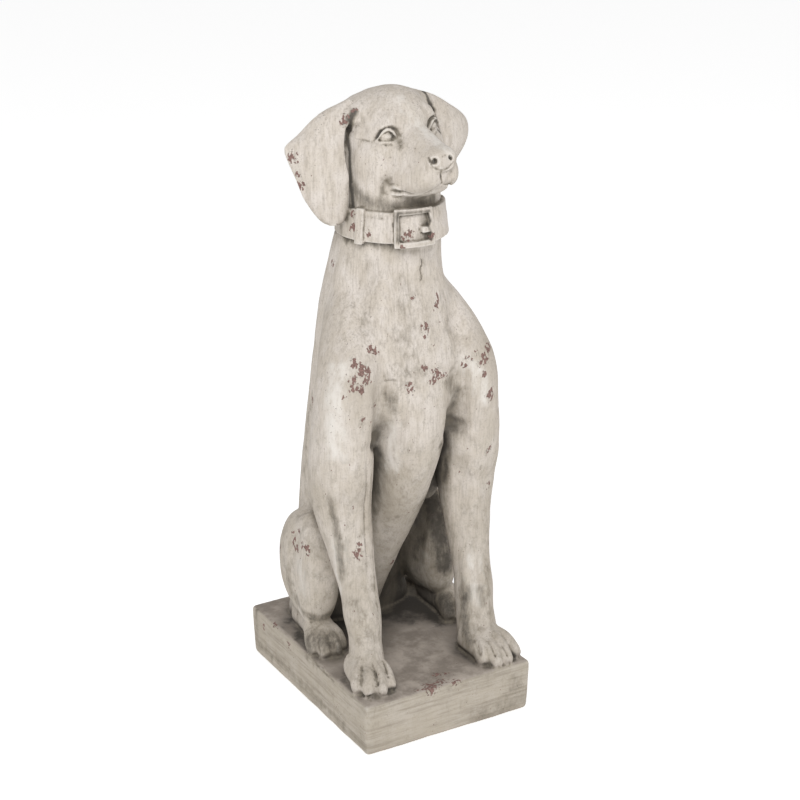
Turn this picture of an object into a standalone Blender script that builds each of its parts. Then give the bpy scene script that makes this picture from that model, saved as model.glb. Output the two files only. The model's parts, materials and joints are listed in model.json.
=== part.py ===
"""A sitting dog on a low plinth, cast in one piece and standing by its own weight.

The row frame is in metres, +Z up, with the origin under the middle of the plinth.
The dog looks along -Y and its left side is +X.
The dog's pose and carving are shares of its own height: every place and radius of
the figure below is in hundredths of FIGURE_HEIGHT, measured from the plinth's top.
"""
import math

import bmesh
import bpy
import numpy as np
from mathutils import Matrix, Vector

# Driving dimensions, in metres
PLINTH_WIDTH = 0.228
PLINTH_DEPTH = 0.303
PLINTH_HEIGHT = 0.066
PLINTH_DRAFT = 0.002          # each side leans in by this much towards the floor
PLINTH_EDGE = 0.005           # rounding of the plinth's edges
FIGURE_HEIGHT = 0.689         # crown above the plinth's top

# How finely the casting is modelled: cell of the melted forms, and faces kept in each half
VOXEL = 0.0026
BODY_FACES = 4000
HEAD_FACES = 3650

# One hundredth of the figure's height
U = FIGURE_HEIGHT / 100

COLOUR = (0.52, 0.49, 0.45, 1.0)

RIGHT, LEFT = -1, 1
ACROSS = Vector((1, 0, 0))

# Trunk from the rump to the neck: depth place, height, half width, half depth
RIBCAGE = [
    (14.3, -1.0, 12.2, 6.2),
    (14.2, 2.0, 11.8, 6.4),
    (14.0, 6.0, 10.2, 6.8),
    (13.0, 12.0, 10.0, 7.4),
    (11.6, 18.0, 10.6, 8.2),
    (8.0, 30.0, 11.5, 8.8),
    (3.8, 42.0, 12.1, 9.6),
    (1.6, 54.0, 11.8, 9.4),
    (0.9, 62.0, 11.0, 9.2),
    (0.0, 70.0, 9.5, 8.4),
    (-1.8, 78.0, 8.1, 8.0),
    (-1.8, 80.5, 7.6, 7.5),
]
# Upper neck, from inside the collar into the skull: depth place, height, half width, half depth
NECK = [
    (-1.7, 75.5, 7.8, 7.7),
    (-1.8, 78.0, 8.0, 7.9),
    (-1.8, 82.0, 7.9, 7.8),
    (-1.6, 88.0, 7.6, 7.6),
]
# Breast and belly, the keeled front of the trunk: depth place, height, half width, half depth
BREAST = [
    (-4.2, 76.0, 5.5, 4.8),
    (-4.8, 66.0, 8.5, 5.2),
    (-6.4, 57.0, 11.0, 5.6),
    (-7.0, 51.5, 11.4, 5.8),
    (-7.0, 46.0, 8.4, 7.2),
    (-5.6, 40.0, 6.6, 7.9),
    (-3.2, 33.0, 5.8, 7.6),
    (0.2, 26.0, 5.8, 6.8),
    (3.6, 18.0, 4.4, 5.8),
    (7.2, 10.0, 3.2, 5.2),
    (11.4, 1.0, 3.0, 4.5),
]
# Shoulder, then each foreleg down to the pastern: side place, depth place, height, half width, half depth
SHOULDER = [
    (6.5, 1.0, 66.0, 3.0, 4.0),
    (8.8, -3.4, 59.5, 4.6, 5.6),
    (11.2, -7.0, 52.0, 5.2, 6.0),
    (12.2, -7.0, 45.0, 5.0, 5.9),
]
RIGHT_LEG = [
    (-12.3, -6.2, 37.0, 5.3, 6.2),
    (-12.0, -5.6, 31.0, 5.1, 5.5),
    (-11.4, -7.4, 23.0, 4.1, 4.1),
    (-11.1, -9.8, 15.5, 3.2, 3.4),
    (-11.1, -11.0, 11.5, 3.3, 3.5),
    (-10.9, -11.7, 7.0, 2.8, 3.1),
    (-11.1, -12.4, 3.5, 3.0, 3.4),
    (-11.2, -13.2, -1.0, 3.2, 3.8),
]
LEFT_LEG = [
    (12.7, -6.2, 37.0, 5.3, 6.2),
    (12.7, -5.6, 31.0, 5.1, 5.5),
    (12.1, -7.4, 23.0, 4.1, 4.1),
    (11.6, -9.8, 15.5, 3.3, 3.4),
    (11.4, -11.0, 11.5, 3.5, 3.5),
    (11.3, -11.7, 7.0, 3.4, 3.2),
    (11.3, -12.4, 3.5, 3.6, 3.5),
    (11.4, -13.2, -1.0, 3.6, 3.8),
]
# Thigh of a hind leg folded upright beside the belly: side place, depth place, height, half width, half depth
THIGH = [
    (13.0, 4.4, 4.5, 2.4, 3.0),
    (12.4, 2.6, 8.5, 3.1, 3.5),
    (12.1, 2.5, 14.0, 3.3, 3.7),
    (12.0, 4.4, 19.5, 3.1, 3.8),
    (11.8, 7.0, 23.0, 2.4, 2.8),
]
# Back of a paw, from the wrist to the knuckles: side place, depth place, height, half width, half height
RIGHT_PAW = [
    (-11.5, -11.5, 2.4, 3.4, 3.4),
    (-12.0, -14.5, 2.0, 3.5, 2.9),
    (-12.5, -17.4, 1.2, 3.3, 1.9),
]
LEFT_PAW = [
    (11.0, -12.0, 2.4, 3.8, 2.8),
    (11.2, -15.2, 2.1, 3.9, 2.8),
    (11.4, -18.8, 1.2, 3.9, 1.8),
]
RIGHT_HIND_PAW = [
    (-11.4, 12.0, 2.0, 1.8, 2.4),
    (-11.6, 6.0, 2.4, 2.3, 2.9),
    (-12.7, 1.8, 2.6, 2.8, 3.0),
    (-13.0, -1.4, 1.5, 3.2, 2.1),
]
LEFT_HIND_PAW = [
    (13.6, 10.0, 2.0, 1.8, 2.4),
    (13.6, 6.0, 2.4, 2.2, 2.9),
    (13.8, 2.4, 2.6, 2.5, 3.0),
    (13.7, -0.8, 1.5, 2.7, 2.1),
]
# Toes of each paw, outer to inner: place of the root, then place of the tip on the ground
RIGHT_TOES = [((-13.8, -14.0), (-15.4, -17.4)), ((-12.6, -14.6), (-14.4, -19.3)),
              ((-11.2, -14.6), (-12.3, -20.0)), ((-9.9, -14.0), (-10.1, -19.1))]
LEFT_TOES = [((13.2, -13.6), (15.0, -19.8)), ((12.0, -14.8), (12.3, -21.2)),
             ((10.7, -14.8), (10.1, -21.2)), ((9.5, -14.2), (8.3, -19.6))]
RIGHT_HIND_TOES = [((-14.8, 1.6), (-15.4, -1.4)), ((-13.6, 1.2), (-14.2, -3.5)),
                   ((-12.2, 1.2), (-12.3, -3.8)), ((-10.9, 1.6), (-10.6, -2.6))]
LEFT_HIND_TOES = [((15.0, 2.2), (15.4, -1.0)), ((14.1, 1.8), (14.5, -2.6)),
                  ((13.2, 1.8), (13.2, -3.0)), ((12.4, 2.2), (11.9, -2.4))]
TOE_WIDTH = 1.2
TOE_HEIGHT = 1.5
TAIL = [
    (0.0, 14.0, 6.0, 3.2, 3.2),
    (1.0, 18.0, 2.4, 2.6, 2.4),
    (6.0, 19.4, 1.2, 2.1, 1.9),
    (11.5, 18.4, 0.9, 1.8, 1.6),
    (14.4, 14.4, 0.8, 1.4, 1.3),
    (14.9, 11.6, 0.6, 0.9, 0.9),
]

# Head frame: side is the dog's left, forward is the muzzle's way, up is the crown's
HEAD_PLACE = (0.0, -1.0, 92.8)
HEAD_YAW = math.radians(7)
HEAD_ROLL = math.radians(-4)
# Muzzle, then the bridge of the nose on it: forward, up, half width, half height
MUZZLE = [
    (1.0, -4.0, 6.4, 6.4),
    (5.5, -4.6, 5.4, 5.3),
    (8.5, -4.9, 4.5, 4.5),
    (11.0, -5.1, 3.9, 3.7),
    (12.8, -5.2, 3.5, 3.2),
    (13.7, -5.2, 2.7, 2.5),
]
BRIDGE = [
    (3.0, -0.9, 3.4, 2.8),
    (6.5, -1.3, 2.9, 2.5),
    (9.5, -2.3, 2.6, 2.3),
    (12.2, -3.1, 2.4, 1.9),
    (13.8, -3.5, 2.2, 1.5),
]
# End of the snout round the nose's leather: forward, up, half width, half height
SNOUT = [
    (11.6, -3.0, 2.8, 1.9),
    (13.4, -3.3, 2.9, 2.0),
    (14.4, -3.7, 2.6, 1.8),
    (15.0, -3.85, 1.8, 1.2),
]
# Upper lip of one side: side, forward, up, half width, half height
LIP = [
    (3.9, 3.5, -6.0, 1.8, 3.0),
    (3.7, 6.5, -6.7, 1.9, 3.1),
    (3.2, 9.3, -6.6, 1.9, 3.0),
    (2.5, 11.5, -6.1, 1.9, 2.7),
    (1.8, 13.0, -5.8, 1.6, 2.3),
    (1.2, 13.8, -5.6, 1.0, 1.6),
]
# Lower jaw: forward, up, half width, half height
JAW = [
    (-1.0, -8.6, 5.6, 4.2),
    (4.0, -9.0, 4.6, 3.0),
    (7.5, -8.8, 3.6, 2.0),
    (10.8, -8.2, 2.7, 1.4),
    (13.0, -8.0, 1.9, 1.0),
]
# Ear leather from its fold down to its tip: front edge and rear edge, each side, forward, up
RIGHT_EAR = [
    ((-5.6, -0.6, 3.6), (-6.6, -2.6, 4.4)),
    ((-7.4, -0.4, 2.2), (-11.2, -3.4, 3.2)),
    ((-8.7, 0.0, 0.1), (-14.7, -4.6, 0.2)),
    ((-9.3, 0.4, -2.3), (-17.1, -5.0, -1.4)),
    ((-9.3, 0.7, -4.4), (-16.6, -4.8, -4.1)),
    ((-9.1, 0.9, -6.7), (-15.9, -4.3, -6.5)),
    ((-9.4, 1.0, -9.8), (-15.3, -3.4, -9.6)),
    ((-9.5, 0.9, -11.9), (-14.4, -2.6, -11.9)),
    ((-10.2, 0.6, -13.8), (-13.4, -1.6, -13.7)),
    ((-11.2, 0.2, -14.5), (-12.4, -0.8, -14.5)),
]
LEFT_EAR = [
    ((5.8, -0.4, 2.8), (6.6, -2.4, 3.2)),
    ((8.0, -0.2, 1.8), (10.8, -2.2, 1.6)),
    ((8.8, 0.2, 0.8), (14.2, -2.2, -0.3)),
    ((9.2, 0.4, -0.3), (16.5, -2.2, -1.7)),
    ((9.4, 0.8, -1.7), (17.6, -2.0, -3.3)),
    ((9.5, 1.0, -3.5), (17.6, -1.8, -5.1)),
    ((9.5, 1.1, -5.2), (16.6, -1.6, -6.8)),
    ((9.2, 1.0, -7.2), (14.4, -1.6, -8.7)),
    ((9.0, 0.7, -9.6), (11.8, -1.6, -10.6)),
    ((9.2, 0.4, -12.0), (10.9, -1.0, -12.8)),
]
EAR_THICKNESS = 1.2
EAR_RIM = 0.8
EAR_BULGE = 0.9

# Collar round the neck: middle, half width and half depth of its inner face
COLLAR_PLACE = (0.0, -1.6, 77.9)
COLLAR_ROUND = (8.0, 8.3)
COLLAR_HEIGHT = 5.0
COLLAR_THICKNESS = 0.9
COLLAR_FLARE = 0.6            # how much wider its lower edge is than its upper one
COLLAR_EDGE = 0.0008          # rounding of its edges, in metres
# Fittings on the collar, by their angles round it from the front towards the dog's left, in degrees
KEEPER = (-68, -59)
BUCKLE = (-27, 16)
BUCKLE_BAR = 5
BUCKLE_HEIGHT = 6.2
STRAP_END = (16, 78)

# Carving strokes: places along the stroke, how deep it goes (a ridge where negative), how wide it reaches
BODY_STROKES = [
    ([(7.0, 2.0, 20.5), (6.4, 3.0, 15.0), (6.2, 4.5, 9.0)], 1.8, 3.4),
    ([(7.8, -11.0, 51.0), (6.6, -11.5, 47.0), (6.4, -11.0, 42.5)], 1.0, 3.8),
]
# Strokes on the head, in its own frame; each is cut on both sides
SOCKET = [([(3.4, 6.8, -0.1), (4.4, 6.4, 0.1), (5.6, 5.0, -0.3)], 0.3, 1.9)]
# Right half of the eyes: rim of each lid from the outer corner to the inner one, and its half thickness
UPPER_LID = [(6.2, 4.4, -1.15), (5.65, 5.3, 0.0), (5.25, 5.8, 0.75), (4.6, 6.2, 1.05), (3.95, 6.45, 0.7),
             (3.4, 6.5, -0.15), (3.0, 6.35, -1.0)]
LOWER_LID = [(6.1, 4.45, -1.15), (5.5, 5.4, -1.0), (4.8, 6.0, -1.05), (3.9, 6.4, -1.1), (3.15, 6.4, -1.1)]
LID_THICKNESS = 0.26
EYEBALL = ((4.35, 4.8, -0.15), (1.35, 1.55, 1.05))
MOUTH = [
    ([(5.4, 5.2, -9.0), (4.9, 6.4, -9.3), (4.2, 8.0, -9.6), (3.3, 9.4, -9.5), (2.3, 10.8, -9.2),
      (1.2, 12.3, -8.6), (0.5, 13.2, -7.8)], 0.8, 0.8),
    ([(5.6, 5.2, -8.8), (5.2, 5.6, -7.8), (4.9, 6.2, -7.0)], 0.5, 0.9),
]
NOSTRILS = [([(1.25, 15.0, -3.5), (1.7, 14.8, -3.6)], 0.4, 0.75)]
# Strokes down the middle of the head
FURROWS = [
    ([(0.0, 1.5, 5.8), (0.0, 5.0, 4.2), (0.0, 7.0, 1.6)], 0.22, 1.6),
    ([(0.0, 14.2, -4.8), (0.0, 13.9, -6.0), (0.0, 13.4, -7.6)], 0.4, 0.5),
]


def empty_scene():
    for item in list(bpy.data.objects):
        bpy.data.objects.remove(item, do_unlink=True)


def spline(rows, steps):
    """Rows interpolated by a Catmull-Rom curve, steps new rows for each old one."""
    rows = np.asarray(rows, float)
    padded = np.vstack([2 * rows[0] - rows[1], rows, 2 * rows[-1] - rows[-2]])
    made = []
    for i in range(1, len(padded) - 2):
        p0, p1, p2, p3 = padded[i - 1:i + 3]
        for step in range(steps):
            t = step / steps
            made.append(0.5 * (2 * p1 + (p2 - p0) * t + (2 * p0 - 5 * p1 + 4 * p2 - p3) * t ** 2
                               + (3 * p1 - p0 - 3 * p2 + p3) * t ** 3))
    made.append(padded[-2])
    return np.array(made)


def close_rings(bm, rings, frame, endless=False):
    """Skins rings of equal count into one closed shell, or an endless one, and moves it into the frame."""
    verts = [[bm.verts.new(frame @ Vector(p)) for p in ring] for ring in rings]
    faces = []
    for low, high in zip(verts, verts[1:] + verts[:1] * endless):
        for i in range(len(low)):
            j = (i + 1) % len(low)
            faces.append(bm.faces.new((low[i], low[j], high[j], high[i])))
    if not endless:
        faces.append(bm.faces.new(verts[0]))
        faces.append(bm.faces.new(verts[-1]))
    bmesh.ops.recalc_face_normals(bm, faces=faces)


def loft(bm, stations, frame=Matrix(), across=ACROSS, sides=24, steps=5, square=2.0):
    """A closed form through stations of place, half width and half depth."""
    rows = spline(stations, steps)
    tangents = np.gradient(rows[:, :3], axis=0)
    rings = []
    for row, tangent in zip(rows, tangents):
        along = Vector(tangent).normalized()
        wide = (across - along * across.dot(along)).normalized()
        deep = along.cross(wide)
        ring = []
        for k in range(sides):
            c, s = math.cos(math.tau * k / sides), math.sin(math.tau * k / sides)
            c = math.copysign(abs(c) ** (2 / square), c)
            s = math.copysign(abs(s) ** (2 / square), s)
            ring.append(Vector(row[:3]) + wide * (row[3] * c) + deep * (row[4] * s))
        rings.append(ring)
    close_rings(bm, rings, frame)


def mass(bm, place, radii, frame, turn=(0, 0, 0), segments=24, rings=16):
    """An ellipsoid of muscle or bone, turned by degrees about X, Y and Z."""
    spin = Matrix.Identity(4)
    for angle, axis in zip(turn, "XYZ"):
        spin = Matrix.Rotation(math.radians(angle), 4, axis) @ spin
    shape = Matrix.Translation(place) @ spin @ Matrix.Diagonal((*radii, 1))
    bmesh.ops.create_uvsphere(bm, u_segments=segments, v_segments=rings, radius=1, matrix=frame @ shape)


def mirrored(stations, side):
    return [(side * row[0], *row[1:]) for row in stations]


def upright(stations):
    """Stations of the trunk, which lie on the dog's middle plane."""
    return [(0, *row) for row in stations]


def fuse(bm, voxel, smoothing):
    """Melts closed overlapping forms into one skin, and softens the joins between them."""
    mesh = bpy.data.meshes.new("masses")
    bm.to_mesh(mesh)
    bm.free()
    holder = bpy.data.objects.new("masses", mesh)
    bpy.context.scene.collection.objects.link(holder)
    remesh = holder.modifiers.new("melt", "REMESH")
    remesh.mode = "VOXEL"
    remesh.voxel_size = voxel
    soften = holder.modifiers.new("soften", "SMOOTH")
    soften.factor = 0.5
    soften.iterations = smoothing
    seen = holder.evaluated_get(bpy.context.evaluated_depsgraph_get())
    skin = bpy.data.meshes.new_from_object(seen)
    bpy.data.objects.remove(holder)
    return skin


def figure_frame():
    """Hundredths of the figure's height, above the plinth's top, to metres."""
    return Matrix.Translation((0, 0, PLINTH_HEIGHT)) @ Matrix.Diagonal((U, U, U, 1))


def head_frame():
    """Side, forward and up of the head to metres."""
    basis = Matrix(((1, 0, 0, 0), (0, -1, 0, 0), (0, 0, 1, 0), (0, 0, 0, 1)))
    turn = Matrix.Rotation(HEAD_YAW, 4, "Z") @ Matrix.Rotation(HEAD_ROLL, 4, "Y")
    return figure_frame() @ Matrix.Translation(HEAD_PLACE) @ turn @ basis


def add_trunk(bm):
    frame = figure_frame()
    loft(bm, upright(RIBCAGE), frame, square=2.3)
    loft(bm, upright(BREAST), frame)


def add_flank(bm, side):
    """The fold of skin between the ribs and the elbow."""
    mass(bm, (side * 9.3, 2.6, 33.5), (3.0, 5.0, 10.5), figure_frame())


def add_foreleg(bm, side):
    lower = RIGHT_LEG if side == RIGHT else LEFT_LEG
    loft(bm, mirrored(SHOULDER, side) + lower, figure_frame(), square=2.1)


def add_paw(bm, stations, toes):
    """The back of a paw and the toes that spread from it."""
    frame = figure_frame()
    loft(bm, stations, frame, square=2.3)
    for root, tip in toes:
        length = [0.0, 0.4, 0.7, 0.92, 1.04]
        heights = [2.5, 2.4, 1.8, 1.1, 0.6]
        widths = [0.9, 1.0, 1.05, 0.9, 0.5]
        rows = []
        for t, height, width in zip(length, heights, widths):
            x = root[0] + (tip[0] - root[0]) * t
            y = root[1] + (tip[1] - root[1]) * t
            rows.append((x, y, height, TOE_WIDTH * width, TOE_HEIGHT * width))
        loft(bm, rows, frame, sides=12, steps=3)


def add_haunch(bm, side):
    frame = figure_frame()
    mass(bm, (side * 11.9, 7.8, 13.2), (4.1, 7.5, 10.4), frame, turn=(-4, 0, 0))
    loft(bm, mirrored(THIGH, side), frame, square=2.2)


def add_tail(bm):
    loft(bm, TAIL, figure_frame(), across=Vector((0, 0, 1)), sides=16)


def add_head(bm):
    loft(bm, upright(NECK), figure_frame(), square=2.3)
    frame = head_frame()
    mass(bm, (0, 0.6, 0.5), (6.8, 7.0, 6.0), frame)
    mass(bm, (0, -0.4, -1.6), (8.0, 6.6, 5.6), frame)
    mass(bm, (0, 2.8, 0.4), (5.6, 4.6, 4.5), frame)
    mass(bm, (0, -3.4, -4.0), (7.2, 6.4, 8.0), frame)
    mass(bm, (0, 0.0, -10.0), (7.6, 7.8, 4.6), frame)
    mass(bm, (0, 12.2, -5.8), (2.6, 2.2, 2.5), frame)
    mass(bm, (-2.2, -0.4, 3.3), (4.6, 4.4, 2.8), frame, turn=(0, -14, 0))
    loft(bm, [(0, *row) for row in MUZZLE], frame, square=2.5)
    loft(bm, [(0, *row) for row in BRIDGE], frame, square=2.6)
    loft(bm, [(0, *row) for row in SNOUT], frame, square=2.2)
    loft(bm, [(0, *row) for row in JAW], frame, square=2.3)
    for side in (RIGHT, LEFT):
        loft(bm, mirrored(LIP, side), frame)
        mass(bm, (side * 4.6, 1.8, -5.4), (3.8, 5.4, 6.6), frame)
        mass(bm, (side * 3.4, 4.4, 1.7), (2.6, 2.2, 1.5), frame, turn=(0, side * 20, 0))
        mass(bm, (side * 4.2, 4.2, -2.2), (2.4, 2.8, 1.8), frame)
        mass(bm, (side * 4.9, 3.3, -0.3), (1.9, 1.9, 1.9), frame)
        root = 0.0 if side == RIGHT else -0.3
        mass(bm, (side * 6.3, -1.7, 2.8 + root), (4.0, 3.2, 1.9), frame, turn=(0, side * 19, 0))
        mass(bm, (side * 4.4, -1.2, 3.5 + root), (3.4, 3.4, 2.0), frame, turn=(0, side * 20, 0))


def add_nose(bm):
    """The leather of the nose, which stays crisper than the skin around it."""
    nose = [(0, 13.0, -3.8, 2.0, 1.3), (0, 14.5, -3.95, 2.0, 1.3), (0, 15.1, -4.0, 1.3, 0.9)]
    loft(bm, nose, head_frame(), square=2.4)


def add_ear(bm, edges):
    """The hanging leather, a bulging leaf between a front and a rear edge."""
    frame = head_frame()
    rows = spline([(*front, *rear) for front, rear in edges], 3)
    middles = (rows[:, :3] + rows[:, 3:]) / 2
    downs = np.gradient(middles, axis=0)
    rings = []
    columns = 10
    for row, down in zip(rows, downs):
        front, rear = Vector(row[:3]), Vector(row[3:])
        chord = rear - front
        out = chord.cross(Vector(down)).normalized()
        out *= math.copysign(1, out.y)
        outer, inner = [], []
        for k in range(columns + 1):
            t = k / columns
            arch = 4 * t * (1 - t)
            half = (EAR_RIM + (EAR_THICKNESS - EAR_RIM) * math.sqrt(arch)) / 2
            middle = front + chord * t + out * (EAR_BULGE * arch)
            outer.append(middle + out * half)
            inner.append(middle - out * half)
        rings.append(outer + inner[::-1])
    close_rings(bm, rings, frame)


def band(angles, middle, height, inner, outer):
    """A strip of the collar between two angles, standing from one share of its thickness to another."""
    turn = abs(angles[1] - angles[0])
    steps = max(3, round(turn / 7.5))
    bm = bmesh.new()
    rings = []
    for angle in np.linspace(*np.radians(angles), steps + 1)[:steps if turn == 360 else None]:
        ring = []
        for grow, rise in ((inner, -1), (outer, -1), (outer, 1), (inner, 1)):
            place = middle + rise * height / 2
            grow -= COLLAR_FLARE * place / COLLAR_HEIGHT
            x = COLLAR_PLACE[0] + (COLLAR_ROUND[0] + grow) * math.sin(angle)
            y = COLLAR_PLACE[1] - (COLLAR_ROUND[1] + grow) * math.cos(angle)
            ring.append(Vector((x, y, COLLAR_PLACE[2] + place)))
        rings.append(ring)
    close_rings(bm, rings, figure_frame(), endless=turn == 360)
    strip = loose(bm, "band")
    soften = strip.modifiers.new("worn edges", "BEVEL")
    soften.width = COLLAR_EDGE
    soften.segments = 1
    soften.limit_method = "ANGLE"
    soften.angle_limit = math.radians(50)
    return strip


def collar():
    """The strap round the neck with its keeper, its free end and the frame of its buckle."""
    thick = COLLAR_THICKNESS
    left, right = BUCKLE
    bar = (BUCKLE_HEIGHT - 0.9) / 2
    return [
        band((-180, 180), 0, COLLAR_HEIGHT, -2.5, thick),
        band(KEEPER, 0, COLLAR_HEIGHT + 0.8, -1.0, thick + 0.5),
        band(STRAP_END, 0, COLLAR_HEIGHT + 0.5, -1.0, thick + 0.4),
        band((left, left + BUCKLE_BAR), 0, BUCKLE_HEIGHT, -1.0, thick + 0.85),
        band((right - BUCKLE_BAR, right), 0, BUCKLE_HEIGHT, -1.0, thick + 0.85),
        band((left + 1, right - 1), bar, 0.9, -1.0, thick + 0.8),
        band((left + 1, right - 1), -bar, 0.9, -1.0, thick + 0.8),
    ]


def carve(skin, frame, strokes, sides=(1,)):
    """Presses strokes into a skin along its normals, on each side they are cut on."""
    count = len(skin.vertices)
    points = np.empty(count * 3)
    skin.vertices.foreach_get("co", points)
    points = points.reshape(count, 3)
    normals = np.empty(count * 3)
    skin.vertices.foreach_get("normal", normals)
    normals = normals.reshape(count, 3)
    moved = points.copy()
    for line, depth, width in strokes:
        for side in sides:
            path = np.array([frame @ Vector((side * x, y, z)) for x, y, z in line])
            reach = width * U
            low, high = path.min(axis=0) - reach, path.max(axis=0) + reach
            near = np.nonzero(((points > low) & (points < high)).all(axis=1))[0]
            away = np.full(len(near), np.inf)
            for start, end in zip(path, path[1:]):
                along = end - start
                t = np.clip((points[near] - start) @ along / (along @ along), 0, 1)
                away = np.minimum(away, np.linalg.norm(points[near] - start - t[:, None] * along, axis=1))
            share = np.clip(1 - (away / reach) ** 2, 0, 1) ** 2
            moved[near] -= normals[near] * (share * depth * U)[:, None]
    skin.vertices.foreach_set("co", moved.ravel())
    skin.update()


def make_plinth():
    bm = bmesh.new()
    bmesh.ops.create_cube(bm, size=1)
    for vert in bm.verts:
        lean = PLINTH_DRAFT if vert.co.z < 0 else 0
        vert.co.x = math.copysign(PLINTH_WIDTH / 2 - lean, vert.co.x)
        vert.co.y = math.copysign(PLINTH_DEPTH / 2 - lean, vert.co.y)
        vert.co.z = PLINTH_HEIGHT if vert.co.z > 0 else 0
    mesh = bpy.data.meshes.new("plinth")
    bm.to_mesh(mesh)
    bm.free()
    plinth = bpy.data.objects.new("plinth", mesh)
    bevel = plinth.modifiers.new("edges", "BEVEL")
    bevel.width = PLINTH_EDGE
    bevel.segments = 3
    return plinth


def reduce(skin, name, faces):
    """Lowers a skin's face count and keeps its shape, so that flat places have the larger faces."""
    form = bpy.data.objects.new(name, skin)
    bpy.context.scene.collection.objects.link(form)
    fewer = form.modifiers.new("fewer", "DECIMATE")
    fewer.ratio = faces / (2 * len(skin.polygons))
    seen = form.evaluated_get(bpy.context.evaluated_depsgraph_get())
    reduced = bpy.data.meshes.new_from_object(seen)
    form.modifiers.clear()
    form.data = reduced
    return form


def sculpt_body():
    bm = bmesh.new()
    add_trunk(bm)
    add_tail(bm)
    for side in (RIGHT, LEFT):
        add_foreleg(bm, side)
        add_flank(bm, side)
        add_haunch(bm, side)
    trunk = fuse(bm, VOXEL, 40)
    carve(trunk, figure_frame(), BODY_STROKES, (RIGHT, LEFT))
    bm = bmesh.new()
    add_paw(bm, RIGHT_PAW, RIGHT_TOES)
    add_paw(bm, LEFT_PAW, LEFT_TOES)
    add_paw(bm, RIGHT_HIND_PAW, RIGHT_HIND_TOES)
    add_paw(bm, LEFT_HIND_PAW, LEFT_HIND_TOES)
    bm.from_mesh(trunk)
    return fuse(bm, VOXEL * 0.7, 4)


def sculpt_head():
    bm = bmesh.new()
    add_head(bm)
    skull = fuse(bm, VOXEL * 0.7, 20)
    carve(skull, head_frame(), SOCKET, (RIGHT, LEFT))
    bm = bmesh.new()
    add_ear(bm, RIGHT_EAR)
    add_ear(bm, LEFT_EAR)
    add_nose(bm)
    bm.from_mesh(skull)
    skin = fuse(bm, VOXEL * 0.5, 6)
    carve(skin, head_frame(), MOUTH + NOSTRILS, (RIGHT, LEFT))
    carve(skin, head_frame(), FURROWS)
    return skin


def loose(bm, name):
    """A form of its own that is joined to the casting later."""
    mesh = bpy.data.meshes.new(name)
    bm.to_mesh(mesh)
    bm.free()
    return bpy.data.objects.new(name, mesh)


def lid(side, line):
    """A rounded rim that follows one eyelid and thins out at both corners."""
    bm = bmesh.new()
    path = [Vector(point) for point in spline(mirrored(line, side), 2)]
    last = len(path) - 1
    rings = []
    for i, point in enumerate(path):
        along = path[min(i + 1, last)] - path[max(i - 1, 0)]
        out = Vector((side * 0.55, 0.8, 0.1))
        out = (out - along * (out.dot(along) / along.dot(along))).normalized()
        across = out.cross(along).normalized()
        thick = LID_THICKNESS * (0.45 + 0.55 * math.sin(math.pi * i / last))
        ring = []
        for angle in np.linspace(0, math.tau, 6, endpoint=False):
            ring.append(point + thick * (1.4 * math.cos(angle) * out + math.sin(angle) * across))
        rings.append(ring)
    close_rings(bm, rings, head_frame())
    return loose(bm, "lid")


def eyes():
    """Eyeballs with their lids."""
    parts = []
    place, radii = EYEBALL
    for side in (RIGHT, LEFT):
        bm = bmesh.new()
        mass(bm, (side * place[0], place[1], place[2]), radii, head_frame(), segments=16, rings=10)
        parts.append(loose(bm, "eyeball"))
        parts.append(lid(side, UPPER_LID))
        parts.append(lid(side, LOWER_LID))
    return parts


def cast(dog, parts):
    """Joins the parts and the dog into one casting."""
    for part in parts:
        bpy.context.scene.collection.objects.link(part)
        join = dog.modifiers.new(part.name, "BOOLEAN")
        join.operation = "UNION"
        join.solver = "EXACT"
        join.object = part
    seen = dog.evaluated_get(bpy.context.evaluated_depsgraph_get())
    whole = bpy.data.meshes.new_from_object(seen)
    dog.modifiers.clear()
    dog.data = whole
    for part in parts:
        bpy.data.objects.remove(part)


def finish(dog):
    stone = bpy.data.materials.new("weathered_stone")
    stone.use_nodes = True
    shader = stone.node_tree.nodes["Principled BSDF"]
    shader.inputs["Base Color"].default_value = COLOUR
    shader.inputs["Roughness"].default_value = 0.85
    dog.data.materials.clear()
    dog.data.materials.append(stone)
    dog.data.shade_smooth()
    dog.data.set_sharp_from_angle(angle=math.radians(40))
    dog.data.name = dog.name
    home = bpy.data.collections.new("dog_statue")
    bpy.context.scene.collection.children.link(home)
    bpy.context.scene.collection.objects.unlink(dog)
    home.objects.link(dog)


def main():
    empty_scene()
    dog = reduce(sculpt_body(), "dog_statue", BODY_FACES)
    head = reduce(sculpt_head(), "head", HEAD_FACES)
    bpy.context.scene.collection.objects.unlink(head)
    cast(dog, [head, *eyes(), *collar(), make_plinth()])
    finish(dog)


main()
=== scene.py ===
"""The dressed casting of a sitting dog on a low plinth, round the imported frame.

It builds the same figure as the part's source with a finer skin, adds the low relief
that was left out there, and gives it a weathered stone paint that is worn and chipped.
Places and radii of the figure are in hundredths of FIGURE_HEIGHT above the plinth's top.
"""
import json
import math

import bmesh
import bpy
import numpy as np
from mathutils import Matrix, Vector
from mathutils.bvhtree import BVHTree

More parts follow.
